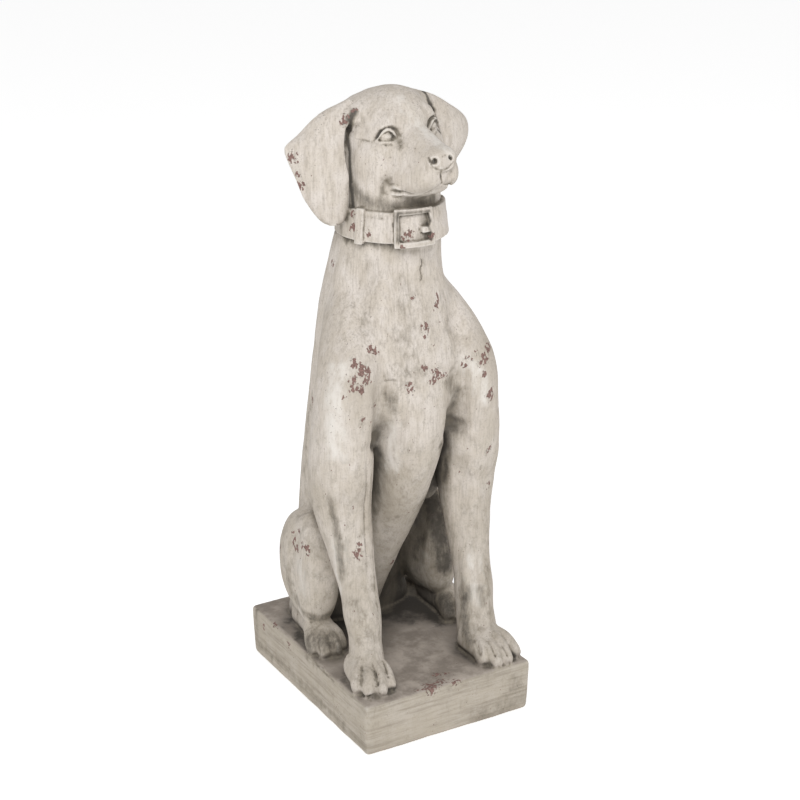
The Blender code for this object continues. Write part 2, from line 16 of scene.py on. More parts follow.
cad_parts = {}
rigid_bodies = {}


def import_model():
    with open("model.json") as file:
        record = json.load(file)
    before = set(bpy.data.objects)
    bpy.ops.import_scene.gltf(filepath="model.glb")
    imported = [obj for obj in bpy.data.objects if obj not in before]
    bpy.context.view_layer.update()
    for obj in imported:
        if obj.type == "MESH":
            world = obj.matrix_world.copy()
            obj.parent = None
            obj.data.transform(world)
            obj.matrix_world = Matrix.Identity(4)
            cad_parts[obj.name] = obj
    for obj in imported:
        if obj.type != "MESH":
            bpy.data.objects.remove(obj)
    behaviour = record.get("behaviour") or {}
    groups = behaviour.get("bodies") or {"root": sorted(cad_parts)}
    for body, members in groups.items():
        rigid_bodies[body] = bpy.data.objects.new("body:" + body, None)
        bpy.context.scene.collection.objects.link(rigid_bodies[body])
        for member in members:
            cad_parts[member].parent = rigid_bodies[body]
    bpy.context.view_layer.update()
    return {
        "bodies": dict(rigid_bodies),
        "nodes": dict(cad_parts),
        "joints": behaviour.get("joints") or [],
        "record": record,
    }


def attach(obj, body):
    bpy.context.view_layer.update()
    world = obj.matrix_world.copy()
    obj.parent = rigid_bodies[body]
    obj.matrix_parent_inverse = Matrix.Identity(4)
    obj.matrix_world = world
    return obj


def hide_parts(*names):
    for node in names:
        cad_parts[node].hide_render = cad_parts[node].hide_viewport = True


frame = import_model()

# Driving dimensions, in metres
PLINTH_WIDTH = 0.228
PLINTH_DEPTH = 0.303
PLINTH_HEIGHT = 0.066
PLINTH_DRAFT = 0.002  # each side leans in by this much towards the floor
PLINTH_EDGE = 0.005  # rounding of the plinth's edges
FIGURE_HEIGHT = 0.689  # crown above the plinth's top

# One hundredth of the figure's height, and the frame that counts in it from the plinth's top
U = FIGURE_HEIGHT / 100
FIGURE = Matrix.Translation((0, 0, PLINTH_HEIGHT)) @ Matrix.Diagonal((U, U, U, 1))

RIGHT, LEFT = -1, 1
ACROSS = Vector((1, 0, 0))
UP = Vector((0, 0, 1))

# Stations of the figure: side, depth and height of the middle, then half width and half depth.
# Those of the trunk, neck and breast are on the middle plane and leave the side out.
# Trunk from the rump to the neck
RIBCAGE = [
    (14.3, -1, 12.2, 6.2), (14.2, 2, 11.8, 6.4), (14, 6, 10.2, 6.8), (13, 12, 10, 7.4),
    (11.6, 18, 10.6, 8.2), (8, 30, 11.5, 8.8), (3.8, 42, 12.1, 9.6), (1.6, 54, 11.8, 9.4),
    (0.9, 62, 11, 9.2), (0, 70, 9.5, 8.4), (-1.8, 78, 8.1, 8), (-1.8, 80.5, 7.6, 7.5),
]
# Upper neck, from inside the collar into the skull
NECK = [(-1.7, 75.5, 7.8, 7.7), (-1.8, 78, 8, 7.9), (-1.8, 82, 7.9, 7.8), (-1.6, 88, 7.6, 7.6)]
# Breast and belly, the keeled front of the trunk
BREAST = [
    (-4.2, 76, 5.5, 4.8), (-4.8, 66, 8.5, 5.2), (-6.4, 57, 11, 5.6), (-7, 51.5, 11.4, 5.8),
    (-7, 46, 8.4, 7.2), (-5.6, 40, 6.6, 7.9), (-3.2, 33, 5.8, 7.6), (0.2, 26, 5.8, 6.8), (3.6, 18, 4.4, 5.8),
    (7.2, 10, 3.2, 5.2), (11.4, 1, 3, 4.5),
]
# Shoulder, then each foreleg down to the pastern
SHOULDER = [(6.5, 1, 66, 3, 4), (8.8, -3.4, 59.5, 4.6, 5.6), (11.2, -7, 52, 5.2, 6), (12.2, -7, 45, 5, 5.9)]
RIGHT_LEG = [
    (-12.3, -6.2, 37, 5.3, 6.2), (-12, -5.6, 31, 5.1, 5.5), (-11.4, -7.4, 23, 4.1, 4.1),
    (-11.1, -9.8, 15.5, 3.2, 3.4), (-11.1, -11, 11.5, 3.3, 3.5), (-10.9, -11.7, 7, 2.8, 3.1),
    (-11.1, -12.4, 3.5, 3, 3.4), (-11.2, -13.2, -1, 3.2, 3.8),
]
LEFT_LEG = [
    (12.7, -6.2, 37, 5.3, 6.2), (12.7, -5.6, 31, 5.1, 5.5), (12.1, -7.4, 23, 4.1, 4.1),
    (11.6, -9.8, 15.5, 3.3, 3.4), (11.4, -11, 11.5, 3.5, 3.5), (11.3, -11.7, 7, 3.4, 3.2),
    (11.3, -12.4, 3.5, 3.6, 3.5), (11.4, -13.2, -1, 3.6, 3.8),
]
# Thigh of a hind leg folded upright beside the belly
THIGH = [
    (13, 4.4, 4.5, 2.4, 3), (12.4, 2.6, 8.5, 3.1, 3.5), (12.1, 2.5, 14, 3.3, 3.7), (12, 4.4, 19.5, 3.1, 3.8),
    (11.8, 7, 23, 2.4, 2.8),
]
# Back of a paw, from the wrist to the knuckles, with a half height
RIGHT_PAW = [(-11.5, -11.5, 2.4, 3.4, 3.4), (-12, -14.5, 2, 3.5, 2.9), (-12.5, -17.4, 1.2, 3.3, 1.9)]
LEFT_PAW = [(11, -12, 2.4, 3.8, 2.8), (11.2, -15.2, 2.1, 3.9, 2.8), (11.4, -18.8, 1.2, 3.9, 1.8)]
RIGHT_HIND_PAW = [
    (-11.4, 12, 2, 1.8, 2.4), (-11.6, 6, 2.4, 2.3, 2.9), (-12.7, 1.8, 2.6, 2.8, 3),
    (-13, -1.4, 1.5, 3.2, 2.1),
]
LEFT_HIND_PAW = [
    (13.6, 10, 2, 1.8, 2.4), (13.6, 6, 2.4, 2.2, 2.9), (13.8, 2.4, 2.6, 2.5, 3), (13.7, -0.8, 1.5, 2.7, 2.1),
]
# Toes of each paw, outer to inner: side and depth of the root, then of the tip
RIGHT_TOES = [
    (-13.8, -14, -15.4, -17.4), (-12.6, -14.6, -14.4, -19.3), (-11.2, -14.6, -12.3, -20),
    (-9.9, -14, -10.1, -19.1),
]
LEFT_TOES = [
    (13.2, -13.6, 15, -19.8), (12, -14.8, 12.3, -21.2), (10.7, -14.8, 10.1, -21.2), (9.5, -14.2, 8.3, -19.6),
]
RIGHT_HIND_TOES = [
    (-14.8, 1.6, -15.4, -1.4), (-13.6, 1.2, -14.2, -3.5), (-12.2, 1.2, -12.3, -3.8),
    (-10.9, 1.6, -10.6, -2.6),
]
LEFT_HIND_TOES = [
    (15, 2.2, 15.4, -1), (14.1, 1.8, 14.5, -2.6), (13.2, 1.8, 13.2, -3), (12.4, 2.2, 11.9, -2.4),
]
PAWS = [(RIGHT_PAW, RIGHT_TOES), (LEFT_PAW, LEFT_TOES),
        (RIGHT_HIND_PAW, RIGHT_HIND_TOES), (LEFT_HIND_PAW, LEFT_HIND_TOES)]
TOE_WIDTH = 1.2
TOE_HEIGHT = 1.5
TAIL = [
    (0, 14, 6, 3.2, 3.2), (1, 18, 2.4, 2.6, 2.4), (6, 19.4, 1.2, 2.1, 1.9), (11.5, 18.4, 0.9, 1.8, 1.6),
    (14.4, 14.4, 0.8, 1.4, 1.3), (14.9, 11.6, 0.6, 0.9, 0.9),
]

# Head frame: side is the dog's left, forward is the muzzle's way, up is the crown's
HEAD_PLACE = (0, -1, 92.8)
HEAD_YAW = math.radians(7)
HEAD_ROLL = math.radians(-4)
HEAD_TURN = Matrix.Rotation(HEAD_YAW, 4, "Z") @ Matrix.Rotation(HEAD_ROLL, 4, "Y")
HEAD = FIGURE @ Matrix.Translation(HEAD_PLACE) @ HEAD_TURN @ Matrix.Diagonal((1, -1, 1, 1))
# Stations of the head: forward and up of the middle, then half width and half height.
# Muzzle, then the bridge of the nose on it
MUZZLE = [
    (1, -4, 6.4, 6.4), (5.5, -4.6, 5.4, 5.3), (8.5, -4.9, 4.5, 4.5), (11, -5.1, 3.9, 3.7),
    (12.8, -5.2, 3.5, 3.2), (13.7, -5.2, 2.7, 2.5),
]
BRIDGE = [
    (3, -0.9, 3.4, 2.8), (6.5, -1.3, 2.9, 2.5), (9.5, -2.3, 2.6, 2.3), (12.2, -3.1, 2.4, 1.9),
    (13.8, -3.5, 2.2, 1.5),
]
# End of the snout round the nose's leather
SNOUT = [(11.6, -3, 2.8, 1.9), (13.4, -3.3, 2.9, 2), (14.4, -3.7, 2.6, 1.8), (15, -3.85, 1.8, 1.2)]
# Upper lip of one side, with its side place first
LIP = [
    (3.9, 3.5, -6, 1.8, 3), (3.7, 6.5, -6.7, 1.9, 3.1), (3.2, 9.3, -6.6, 1.9, 3),
    (2.5, 11.5, -6.1, 1.9, 2.7), (1.8, 13, -5.8, 1.6, 2.3), (1.2, 13.8, -5.6, 1, 1.6),
]
# Lower jaw
JAW = [(-1, -8.6, 5.6, 4.2), (4, -9, 4.6, 3), (7.5, -8.8, 3.6, 2), (10.8, -8.2, 2.7, 1.4), (13, -8, 1.9, 1)]
# Ear leather from its fold down to its tip: front edge and rear edge, each side, forward, up
RIGHT_EAR = [
    (-5.6, -0.6, 3.6, -6.6, -2.6, 4.4), (-7.4, -0.4, 2.2, -11.2, -3.4, 3.2),
    (-8.7, 0, 0.1, -14.7, -4.6, 0.2), (-9.3, 0.4, -2.3, -17.1, -5, -1.4),
    (-9.3, 0.7, -4.4, -16.6, -4.8, -4.1), (-9.1, 0.9, -6.7, -15.9, -4.3, -6.5),
    (-9.4, 1, -9.8, -15.3, -3.4, -9.6), (-9.5, 0.9, -11.9, -14.4, -2.6, -11.9),
    (-10.2, 0.6, -13.8, -13.4, -1.6, -13.7), (-11.2, 0.2, -14.5, -12.4, -0.8, -14.5),
]
LEFT_EAR = [
    (5.8, -0.4, 2.8, 6.6, -2.4, 3.2), (8, -0.2, 1.8, 10.8, -2.2, 1.6), (8.8, 0.2, 0.8, 14.2, -2.2, -0.3),
    (9.2, 0.4, -0.3, 16.5, -2.2, -1.7), (9.4, 0.8, -1.7, 17.6, -2, -3.3), (9.5, 1, -3.5, 17.6, -1.8, -5.1),
    (9.5, 1.1, -5.2, 16.6, -1.6, -6.8), (9.2, 1, -7.2, 14.4, -1.6, -8.7), (9, 0.7, -9.6, 11.8, -1.6, -10.6),
    (9.2, 0.4, -12, 10.9, -1, -12.8),
]
EAR_THICKNESS = 1.2
EAR_RIM = 0.8
EAR_BULGE = 0.9

# Collar round the neck: middle, half width and half depth of its inner face
COLLAR_PLACE = (0, -1.6, 77.9)
COLLAR_ROUND = (8, 8.3)
COLLAR_HEIGHT = 5.0
COLLAR_THICKNESS = 0.9
COLLAR_FLARE = 0.6  # how much wider its lower edge is than its upper one
COLLAR_EDGE = 0.0008  # rounding of its edges, in metres
# Fittings on the collar, by their angles round it from the front towards the dog's left, in degrees
KEEPER = (-68, -59)
BUCKLE = (-27, 16)
BUCKLE_BAR = 5
BUCKLE_HEIGHT = 6.2
BAR_HEIGHT = 0.9
STRAP_END = (16, 78)

# How finely the forms are melted, and the finished skins of body and head, in metres
VOXEL = 0.0026
SKULL_VOXEL = VOXEL * 0.7
BODY_VOXEL = 0.0016
HEAD_VOXEL = 0.0010
BODY_FACES = 88000
HEAD_FACES = 104000
# Rounds of smoothing after each melting
TRUNK_SMOOTHING = 40
SKULL_SMOOTHING = 20
LAST_SMOOTHING = 2

# Share of a relief stroke's length over which each of its ends runs out
RUN_OUT = 0.3

# Low relief, drawn where the camera sees it: right and down in turn for each pixel of the stroke,
# depth (a ridge where negative), width, and True where the hidden side of the dog has it too
BODY_RELIEF = [
    ([362, 452, 372, 441, 384, 430, 396, 420], 0.5, 1.8, True),
    ([378, 378, 394, 378, 410, 380, 428, 379, 442, 375, 458, 371, 472, 368], -0.5, 1.8),
    ([342, 370, 340, 396, 342, 422, 346, 450], -0.45, 4.5), ([398, 430, 404, 418, 412, 412], 0.3, 1.8),
    ([361, 250, 365, 285, 360, 322, 350, 350], 0.55, 3), ([346, 250, 338, 285, 336, 320], -0.4, 2.6),
    ([443, 262, 449, 296, 455, 322, 468, 352], 0.6, 2.6), ([404, 296, 400, 330, 394, 356], 0.4, 3.4),
    ([418, 300, 424, 330, 430, 352], -0.3, 2.6), ([407, 392, 400, 420, 398, 448], 0.35, 2),
    ([424, 400, 420, 440, 410, 480], 0.3, 2.4),
    ([371, 436, 367.4, 462, 366.4, 500, 367, 545, 370, 590], 0.45, 0.7),
    ([346, 446, 341, 490, 347, 536], 0.45, 1.8), ([336, 470, 335, 510, 343, 550], -0.3, 1.4),
    ([352, 560, 354, 590, 358, 618], 0.35, 1.6), ([362, 590, 366, 612, 366, 630], -0.35, 1.8, True),
    ([352, 644, 362, 646, 374, 646, 382, 642], 0.3, 1), ([478, 560, 476, 580, 475, 600, 478, 618], 0.5, 2),
    ([465, 545, 466, 570, 468, 600], -0.35, 1.6), ([464, 640, 469, 628, 473, 614], -0.45, 1.6),
    ([484, 640, 487, 630, 488, 616], -0.4, 1.2), ([451, 424, 458, 434, 468, 444, 480, 446], 0.4, 1.8),
    ([462, 450, 460, 490, 462, 530], 0.4, 1.8), ([479, 456, 478, 500, 477, 530], -0.3, 1.6),
    ([361, 660, 361, 680, 360.7, 696], 0.3, 0.8), ([372, 656, 377, 677, 380.9, 696], 0.3, 0.8),
    ([373.6, 664, 377.4, 680, 381.2, 698], 0.2, 0.3), ([381, 652, 387, 671, 392.6, 692], 0.3, 0.8),
    ([383, 660, 388, 675, 392.6, 692], 0.2, 0.3), ([472, 630, 479, 648, 484, 666], 0.3, 0.8),
    ([486, 633, 494, 652, 499, 668], 0.3, 0.8), ([499, 638, 506, 652, 510, 664], 0.3, 0.8),
    ([475, 638, 480.4, 652, 484, 667], 0.2, 0.3), ([488.6, 640, 494.6, 654, 499, 669], 0.2, 0.3),
    ([502, 645, 506.6, 654, 510, 665], 0.2, 0.3), ([319, 634, 318.5, 648, 320, 660], 0.3, 0.5, True),
    ([332, 634, 335, 647, 336.6, 658], 0.35, 0.5, True),
    ([420.8, 258, 422, 264, 420, 270, 421.8, 275, 420.4, 281], 0.2, 0.22),
    ([312, 657, 316, 660, 318, 666, 323, 667, 325, 673, 331, 675, 334, 682], 0.14, 0.22),
    ([383, 376, 385, 381, 392, 379.6, 399, 382, 409, 383, 411, 388], 0.2, 0.26),
    ([357, 692.6, 363, 695.4, 371, 696, 378, 694], 0.3, 0.4), ([300, 520, 294, 545, 298, 575], 0.3, 2.6),
    ([318, 540, 326, 565, 324, 592], 0.35, 2.4), ([296, 590, 303, 606, 314, 614], -0.3, 1.6),
]
HEAD_RELIEF = [
    ([371.4, 144.4, 375, 139, 380.2, 131.6, 385.4, 127.4, 391, 126.6, 396.4, 129.4, 400.4, 135.6, 402, 141],
     0.15, 0.34, True), ([397.6, 139, 400, 143, 401, 148], 0.25, 0.9, True),
    ([382, 145.8, 389, 146.4, 396, 144.6], 0.12, 0.6, True),
    ([358, 139, 366, 140.4, 374.6, 142.6], 0.2, 0.6, True),
    ([383, 121.6, 389, 117.6, 396, 118.6], -0.35, 1.6, True),
    ([395.7, 95.7, 400, 105, 405.7, 112.9, 406, 122, 404, 131], 0.3, 1.2),
    ([357, 117, 351.6, 122, 347.6, 131, 345.4, 142, 345, 152], 0.6, 0.7, True),
    ([349, 113.6, 354, 111.4, 360, 112], -0.3, 0.9),
    ([391.4, 177, 387, 183, 384.6, 188.6, 383.4, 196, 384, 202], 0.5, 1.6, True),
    ([390, 190.8, 397, 191.4, 402.9, 192.6, 412.9, 195, 424.3, 193.6, 434.3, 189, 441.4, 184.4],
     0.5, 0.6, True), ([388.6, 190, 391, 187.6, 396, 187, 402.4, 189.4], -0.3, 0.55, True),
    ([388.4, 191.4, 390.6, 193.8, 397, 194.6, 404, 195], -0.24, 0.5, True),
    ([400, 160, 408, 168, 411, 178, 405, 186], 0.16, 2.2, True),
    ([441.4, 170, 441.2, 177, 441.4, 184.6], 0.2, 0.34), ([441.4, 184.6, 447, 185.4, 453, 184.4], 0.15, 0.4),
    ([428.6, 157, 429.4, 160.6, 431.6, 163, 434.6, 163.4], 0.3, 0.45),
    ([432.6, 161.4, 434, 160.2, 435.6, 161, 435.6, 162.6, 434, 162.8], 0.9, 0.55),
    ([449, 157.6, 450.4, 157.4, 451.2, 158.8, 450.4, 160], 0.85, 0.5),
    ([440.4, 156.6, 444, 155.6, 448, 155.6], 0.14, 0.4),
    ([430.6, 164.6, 433.6, 168, 439, 170.6, 446, 169.4, 452.6, 164.6], 0.16, 0.4),
]

# How far hollows are felt for, and how deep a full one is in small and in large, in metres
HOLLOW_REACH = 0.0016
HOLLOW_DEPTHS = (0.0003, 0.0012)
# How far the statue shades itself, in metres
SHELTER_REACH = 0.16
# How far the dark line reaches from where the neck passes into the collar, in metres
SEAM = 0.0035

def colour(red, green, blue):
    """A linear colour from display values between 0 and 255."""
    linear = [((v / 255 + 0.055) / 1.055) ** 2.4 for v in (red, green, blue)]
    return (*linear, 1)


# Paint: the coats and what shows through them; the two dark colours give both the wash and the painted shade
PALE = colour(212, 204, 196)
CREAM = colour(202, 193, 182)
BUFF = colour(176, 166, 152)
UMBER = colour(140, 131, 120)
MID_WASH_AND_SHADE = colour(124, 116, 103)
DARK_WASH_AND_SHADE = colour(70, 66, 61)
WORN = colour(222, 217, 210)
LOWER_TONE = colour(156, 147, 131)
TOP_DARK = colour(140, 131, 122)
TOP_PALE = colour(180, 170, 160)
CLAY = colour(142, 114, 106)
CLAY_DARK = colour(112, 90, 84)

# Studio: camera, lamps and sky
CAMERA_PLACE = Vector((-0.9911, -1.7360, 1.1211))
CAMERA_YAW = math.radians(-30.2)
CAMERA_TILT = math.radians(20.5)
CAMERA_TURN = Matrix.Rotation(CAMERA_YAW, 4, "Z") @ Matrix.Rotation(math.pi / 2 - CAMERA_TILT, 4, "X")
FOCAL_PIXELS = 1800
PICTURE = 800  # side of its square frame, in pixels
SENSOR = 36  # side of its sensor, in millimetres
SKY = 0.5
FLOOR_GLOW = 0.49
LAMP_TARGET = (0, 0, 0.4)
# Round lamps: name, place, diameter, power in watts
LAMPS = [
    ("key", (-1.6, -2.4, 2.9), 1.6, 73),
    ("side", (2.6, -2, 1.8), 2, 12),
]

# Dark wash and painted shade where the camera sees it: reach in pixels, strength, then right and down of
# each pixel
SHADE_AND_STAINS = [
    (4, 0.5, 397, 138, 400, 143, 400, 148), (1.6, 0.4, 359, 139, 368, 141, 375, 143),
    (1.2, 0.6, 379, 140.8, 386, 141.2, 394, 140.6),
    (5, 0.95, 354.5, 112, 350, 119, 348.4, 128, 348.4, 145, 349.6, 165, 351, 185, 353, 207),
    (5, 0.35, 355, 112, 361, 116, 364, 124),
    (10, 0.62, 354, 186, 360, 197, 372, 204, 392, 206, 412, 205, 430, 201),
    (3.5, 0.55, 391, 179, 386, 181, 383, 187, 381, 196, 380, 204),
    (1.8, 0.8, 427.4, 127, 429.6, 120.6, 433.6, 118.4, 437.4, 122.6),
    (3.5, 0.95, 423, 91, 428, 100, 433, 110, 437, 120, 440, 132), (3, 0.3, 404, 104, 405, 116, 403, 130),
    (1.6, 0.8, 428.6, 158, 430, 162, 434, 163.4), (2.6, 1, 433.6, 161.2, 434.6, 161.4),
    (2.2, 1, 450, 158.4, 450.6, 158.8),
    (1.2, 0.55, 431, 164.5, 435, 168.6, 441.5, 170.8, 448, 168, 453, 162),
    (1.8, 0.7, 435.6, 168.6, 436.6, 169.4), (1.2, 0.6, 441.4, 170, 441.6, 183),
    (2.4, 0.7, 397.6, 215, 397.4, 228, 397.6, 243), (2.4, 0.7, 398, 213.6, 414, 212.4, 430, 211),
    (2.6, 0.9, 428, 214, 430, 221, 427, 226, 430, 232, 431, 239), (3, 0.35, 360, 214, 372, 217, 388, 219),
    (5, 0.6, 341, 226, 345, 238, 352, 243), (4, 0.45, 372, 247, 392, 250, 412, 252, 432, 249, 446, 242),
    (12, 0.25, 350, 262, 346, 300, 345, 340), (13, 0.3, 440, 300, 452, 340, 458, 366),
    (28, 0.34, 404, 290, 406, 330, 410, 372), (16, 0.28, 372, 270, 368, 300, 366, 330),
    (1.2, 0.85, 421, 259, 422, 264, 420, 270, 421.6, 276, 420.4, 282),
    (1.2, 0.6, 384, 376, 385, 381, 392, 379.6, 399, 382, 410, 383, 412, 388),
    (1.2, 0.55, 446, 377, 450, 372, 455, 366, 462, 360, 468, 352), (2, 0.6, 347.6, 211, 346.6, 238),
    (2, 0.6, 354.4, 212, 354, 241), (2, 0.6, 394.4, 213, 394.2, 247), (9, 0.6, 386, 392, 392, 400, 392, 410),
    (11, 0.6, 448, 382, 456, 392, 451, 408), (6, 0.5, 374, 455, 375, 480, 374, 510),
    (8, 0.7, 441, 445, 446, 462, 444, 480), (12, 0.25, 410, 440, 408, 470, 402, 520),
    (2.4, 0.5, 371, 470, 371.6, 520, 373, 560, 376, 600, 379, 640), (7, 0.35, 311, 400, 306, 440, 305, 480),
    (8, 0.65, 303, 612, 315, 618, 330, 614, 340, 600), (9, 0.5, 288, 570, 292, 592, 300, 606),
    (7, 0.6, 330, 500, 338, 540, 342, 580), (22, 0.65, 312, 645, 326, 640, 340, 646),
    (18, 0.65, 424, 500, 420, 540, 410, 590), (12, 0.5, 404, 560, 392, 590, 384, 610),
    (18, 0.85, 432, 500, 440, 530, 446, 565), (14, 0.8, 444, 598, 448, 612),
    (8, 0.4, 356, 600, 360, 622, 376, 640), (10, 0.7, 464, 590, 464, 620, 468, 640),
    (6, 0.5, 480, 588, 484, 604), (6, 0.4, 486, 560, 488, 590, 492, 615),
    (1.6, 0.7, 372.4, 664, 376, 680, 380, 694), (1.6, 0.7, 382, 660, 387, 674, 392, 690),
    (1.6, 0.6, 361, 668, 360.6, 684, 361, 694), (1.8, 0.6, 474, 640, 480, 654, 485, 668),
    (1.8, 0.6, 488, 642, 495, 656, 500, 668), (1.8, 0.6, 502, 646, 507, 656, 510, 664),
    (1.4, 0.6, 312, 657, 318, 666, 325, 673, 334, 682), (7, 0.5, 256, 640, 290, 672, 330, 712, 366, 748),
    (6, 0.35, 372, 750, 420, 740, 470, 724, 522, 708), (16, 0.5, 478, 716, 500, 708, 522, 698),
    (12, 0.5, 514, 680, 519, 690, 522, 700), (5, 0.6, 257, 610, 257, 640),
]

# Places that the weather has rubbed pale, given in the same way
RUBBED = [
    (18, 0.75, 338, 372, 333, 400, 332, 425, 336, 450), (13, 0.7, 466, 362, 476, 372, 484, 398),
    (12, 0.75, 420, 124, 436, 139, 448, 149), (16, 0.5, 396, 100, 408, 116, 416, 132),
    (14, 0.6, 394, 430, 392, 465), (12, 0.55, 336, 545, 340, 590), (12, 0.6, 474, 560, 476, 600),
    (12, 0.5, 300, 560, 303, 590),
]

# Chips that the camera sees: pixel right and down, and reach in pixels
SEEN_CHIPS = [
    (293, 158, 5), (298, 174, 2.5), (301, 186, 3.5), (344, 122, 3), (345, 117, 3), (354, 110, 2.5),
    (353, 214, 2.5), (353, 228, 3.5), (369, 233, 2.5), (406, 238, 3.5), (410, 234, 3.5), (431, 236, 3),
    (403, 247, 2), (413, 297, 2.2), (420, 299, 1.6), (437, 294, 2), (437, 303, 3), (436, 308, 2),
    (425, 327, 3.5), (424, 335, 2.6), (432, 345, 2), (371, 349, 3.4), (376, 352, 2.4), (355, 364, 4.2),
    (361, 370, 4.4), (368, 372, 3.2), (367, 381, 4), (352, 380, 3), (353, 389, 3.4), (362, 390, 2.4),
    (343, 397, 1.6), (374, 405, 3), (372, 410, 2.2), (363, 421, 3.2), (370, 423, 1.6), (411, 391, 3.2),
    (410, 384, 2), (424, 368, 3.2), (437, 374, 4.4), (431, 383, 3.2), (446, 375, 2), (488, 347, 4),
    (484, 358, 4), (480, 364, 2.6), (470, 359, 2.4), (476, 352, 2), (464, 365, 2.4), (484, 374, 2.6),
    (496, 366, 2.4), (490, 396, 3.4), (492, 390, 2.4), (489, 448, 2.6), (488, 484, 2.8), (352, 508, 1.8),
    (359, 545, 1.8), (357, 555, 3.4), (361, 551, 2.2), (297, 549, 3), (307, 549, 3.2), (293, 532, 1.8),
    (299, 531, 2), (295, 539, 1.6), (302, 545, 1.8), (301, 558, 1.6), (431, 688, 5.4), (426, 685, 2.6),
    (442, 681, 3.6), (436, 675, 2.6), (444, 674, 2.4), (455, 681, 3.6), (413, 692, 1.8), (275, 625, 2.4),
    (281, 627, 2.4), (289, 645, 2.6),
]
# Chips on the sides the camera doesn't see: degrees round from the front, height and reach in metres
HIDDEN_CHIPS = [
    (70, 0.56, 0.004), (78, 0.52, 0.003), (95, 0.47, 0.003), (120, 0.3, 0.004), (140, 0.52, 0.003),
    (165, 0.44, 0.004), (172, 0.42, 0.003), (186, 0.6, 0.003), (196, 0.28, 0.004), (203, 0.26, 0.003),
    (232, 0.17, 0.004), (225, 0.05, 0.004), (150, 0.062, 0.005), (90, 0.063, 0.004), (75, 0.16, 0.003),
    (250, 0.38, 0.003), (262, 0.55, 0.003), (180, 0.71, 0.003), (100, 0.66, 0.004), (128, 0.05, 0.003),
]

# Carving strokes, cut on both sides: places along the stroke, how deep it goes, how wide it reaches
BODY_STROKES = [
    ([(7, 2, 20.5), (6.4, 3, 15), (6.2, 4.5, 9)], 1.8, 3.4),
    ([(7.8, -11, 51), (6.6, -11.5, 47), (6.4, -11, 42.5)], 1, 3.8),
]
# The eye's socket, in the head's frame
SOCKET = [([(3.4, 6.8, -0.1), (4.4, 6.4, 0.1), (5.6, 5, -0.3)], 0.3, 1.9)]
# Right half of the eyes: rim of each lid from the outer corner to the inner one, and its half thickness
UPPER_LID = [(6.2, 4.4, -1.15), (5.65, 5.3, 0), (5.25, 5.8, 0.75), (4.6, 6.2, 1.05), (3.95, 6.45, 0.7),
             (3.4, 6.5, -0.15), (3, 6.35, -1)]
LOWER_LID = [(6.1, 4.45, -1.15), (5.5, 5.4, -1), (4.8, 6, -1.05), (3.9, 6.4, -1.1), (3.15, 6.4, -1.1)]
LID_THICKNESS = 0.26
EYEBALL = ((4.35, 4.8, -0.15), (1.35, 1.55, 1.05))


def spline(rows, steps):
    """Rows interpolated by a Catmull-Rom curve, steps new rows for each old one."""
    rows = np.asarray(rows, float)
    padded = np.vstack([2 * rows[0] - rows[1], rows, 2 * rows[-1] - rows[-2]])
    made = []
    for i in range(1, len(padded) - 2):
        p0, p1, p2, p3 = padded[i - 1:i + 3]
        for step in range(steps):
            t = step / steps
            made.append(0.5 * (2 * p1 + (p2 - p0) * t + (2 * p0 - 5 * p1 + 4 * p2 - p3) * t ** 2
                               + (3 * p1 - p0 - 3 * p2 + p3) * t ** 3))
    made.append(padded[-2])
    return np.array(made)


def close_rings(bm, rings, frame, endless=False):
    """Skins rings of equal count into one closed or endless shell, and moves it into the frame."""
    verts = [[bm.verts.new(frame @ Vector(p)) for p in ring] for ring in rings]
    faces = []
    for low, high in zip(verts, verts[1:] + verts[:1] * endless):
        for i in range(len(low)):
            j = (i + 1) % len(low)
            faces.append(bm.faces.new((low[i], low[j], high[j], high[i])))
    if not endless:
        faces.append(bm.faces.new(verts[0]))
        faces.append(bm.faces.new(verts[-1]))
    bmesh.ops.recalc_face_normals(bm, faces=faces)


def loft(bm, stations, frame, across=ACROSS, sides=24, steps=5, square=2.0):
    """A closed form through stations of place, half width and half depth."""
    rows = spline(stations, steps)
    tangents = np.gradient(rows[:, :3], axis=0)
    rings = []
    for row, tangent in zip(rows, tangents):
        along = Vector(tangent).normalized()
        wide = (across - along * across.dot(along)).normalized()
        deep = along.cross(wide)
        ring = []
        for k in range(sides):
            c, s = math.cos(math.tau * k / sides), math.sin(math.tau * k / sides)
            c = math.copysign(abs(c) ** (2 / square), c)
            s = math.copysign(abs(s) ** (2 / square), s)
            ring.append(Vector(row[:3]) + wide * (row[3] * c) + deep * (row[4] * s))
        rings.append(ring)
    close_rings(bm, rings, frame)


def mass(bm, place, radii, frame, turn=(0, 0, 0), segments=24, rings=16):
    """An ellipsoid of muscle or bone, turned by degrees about X, Y and Z."""
    spin = Matrix.Identity(4)
    for angle, axis in zip(turn, "XYZ"):
        spin = Matrix.Rotation(math.radians(angle), 4, axis) @ spin
    shape = Matrix.Translation(place) @ spin @ Matrix.Diagonal((*radii, 1))
    bmesh.ops.create_uvsphere(bm, u_segments=segments, v_segments=rings, radius=1, matrix=frame @ shape)


def mirrored(stations, side):
    return [(side * row[0], *row[1:]) for row in stations]


def upright(stations):
    """Stations on the middle plane of the trunk or the head."""
    return [(0, *row) for row in stations]


def loose(bm, name):
    """A form of its own that is not in the scene yet."""
    mesh = bpy.data.meshes.new(name)
    bm.to_mesh(mesh)
    bm.free()
    return bpy.data.objects.new(name, mesh)


def link(form):
    """Puts a form into the scene."""
    bpy.context.scene.collection.objects.link(form)
    return form


def applied(form):
    """A new mesh of a linked form with its modifiers worked in."""
    seen = form.evaluated_get(bpy.context.evaluated_depsgraph_get())
    return bpy.data.meshes.new_from_object(seen)


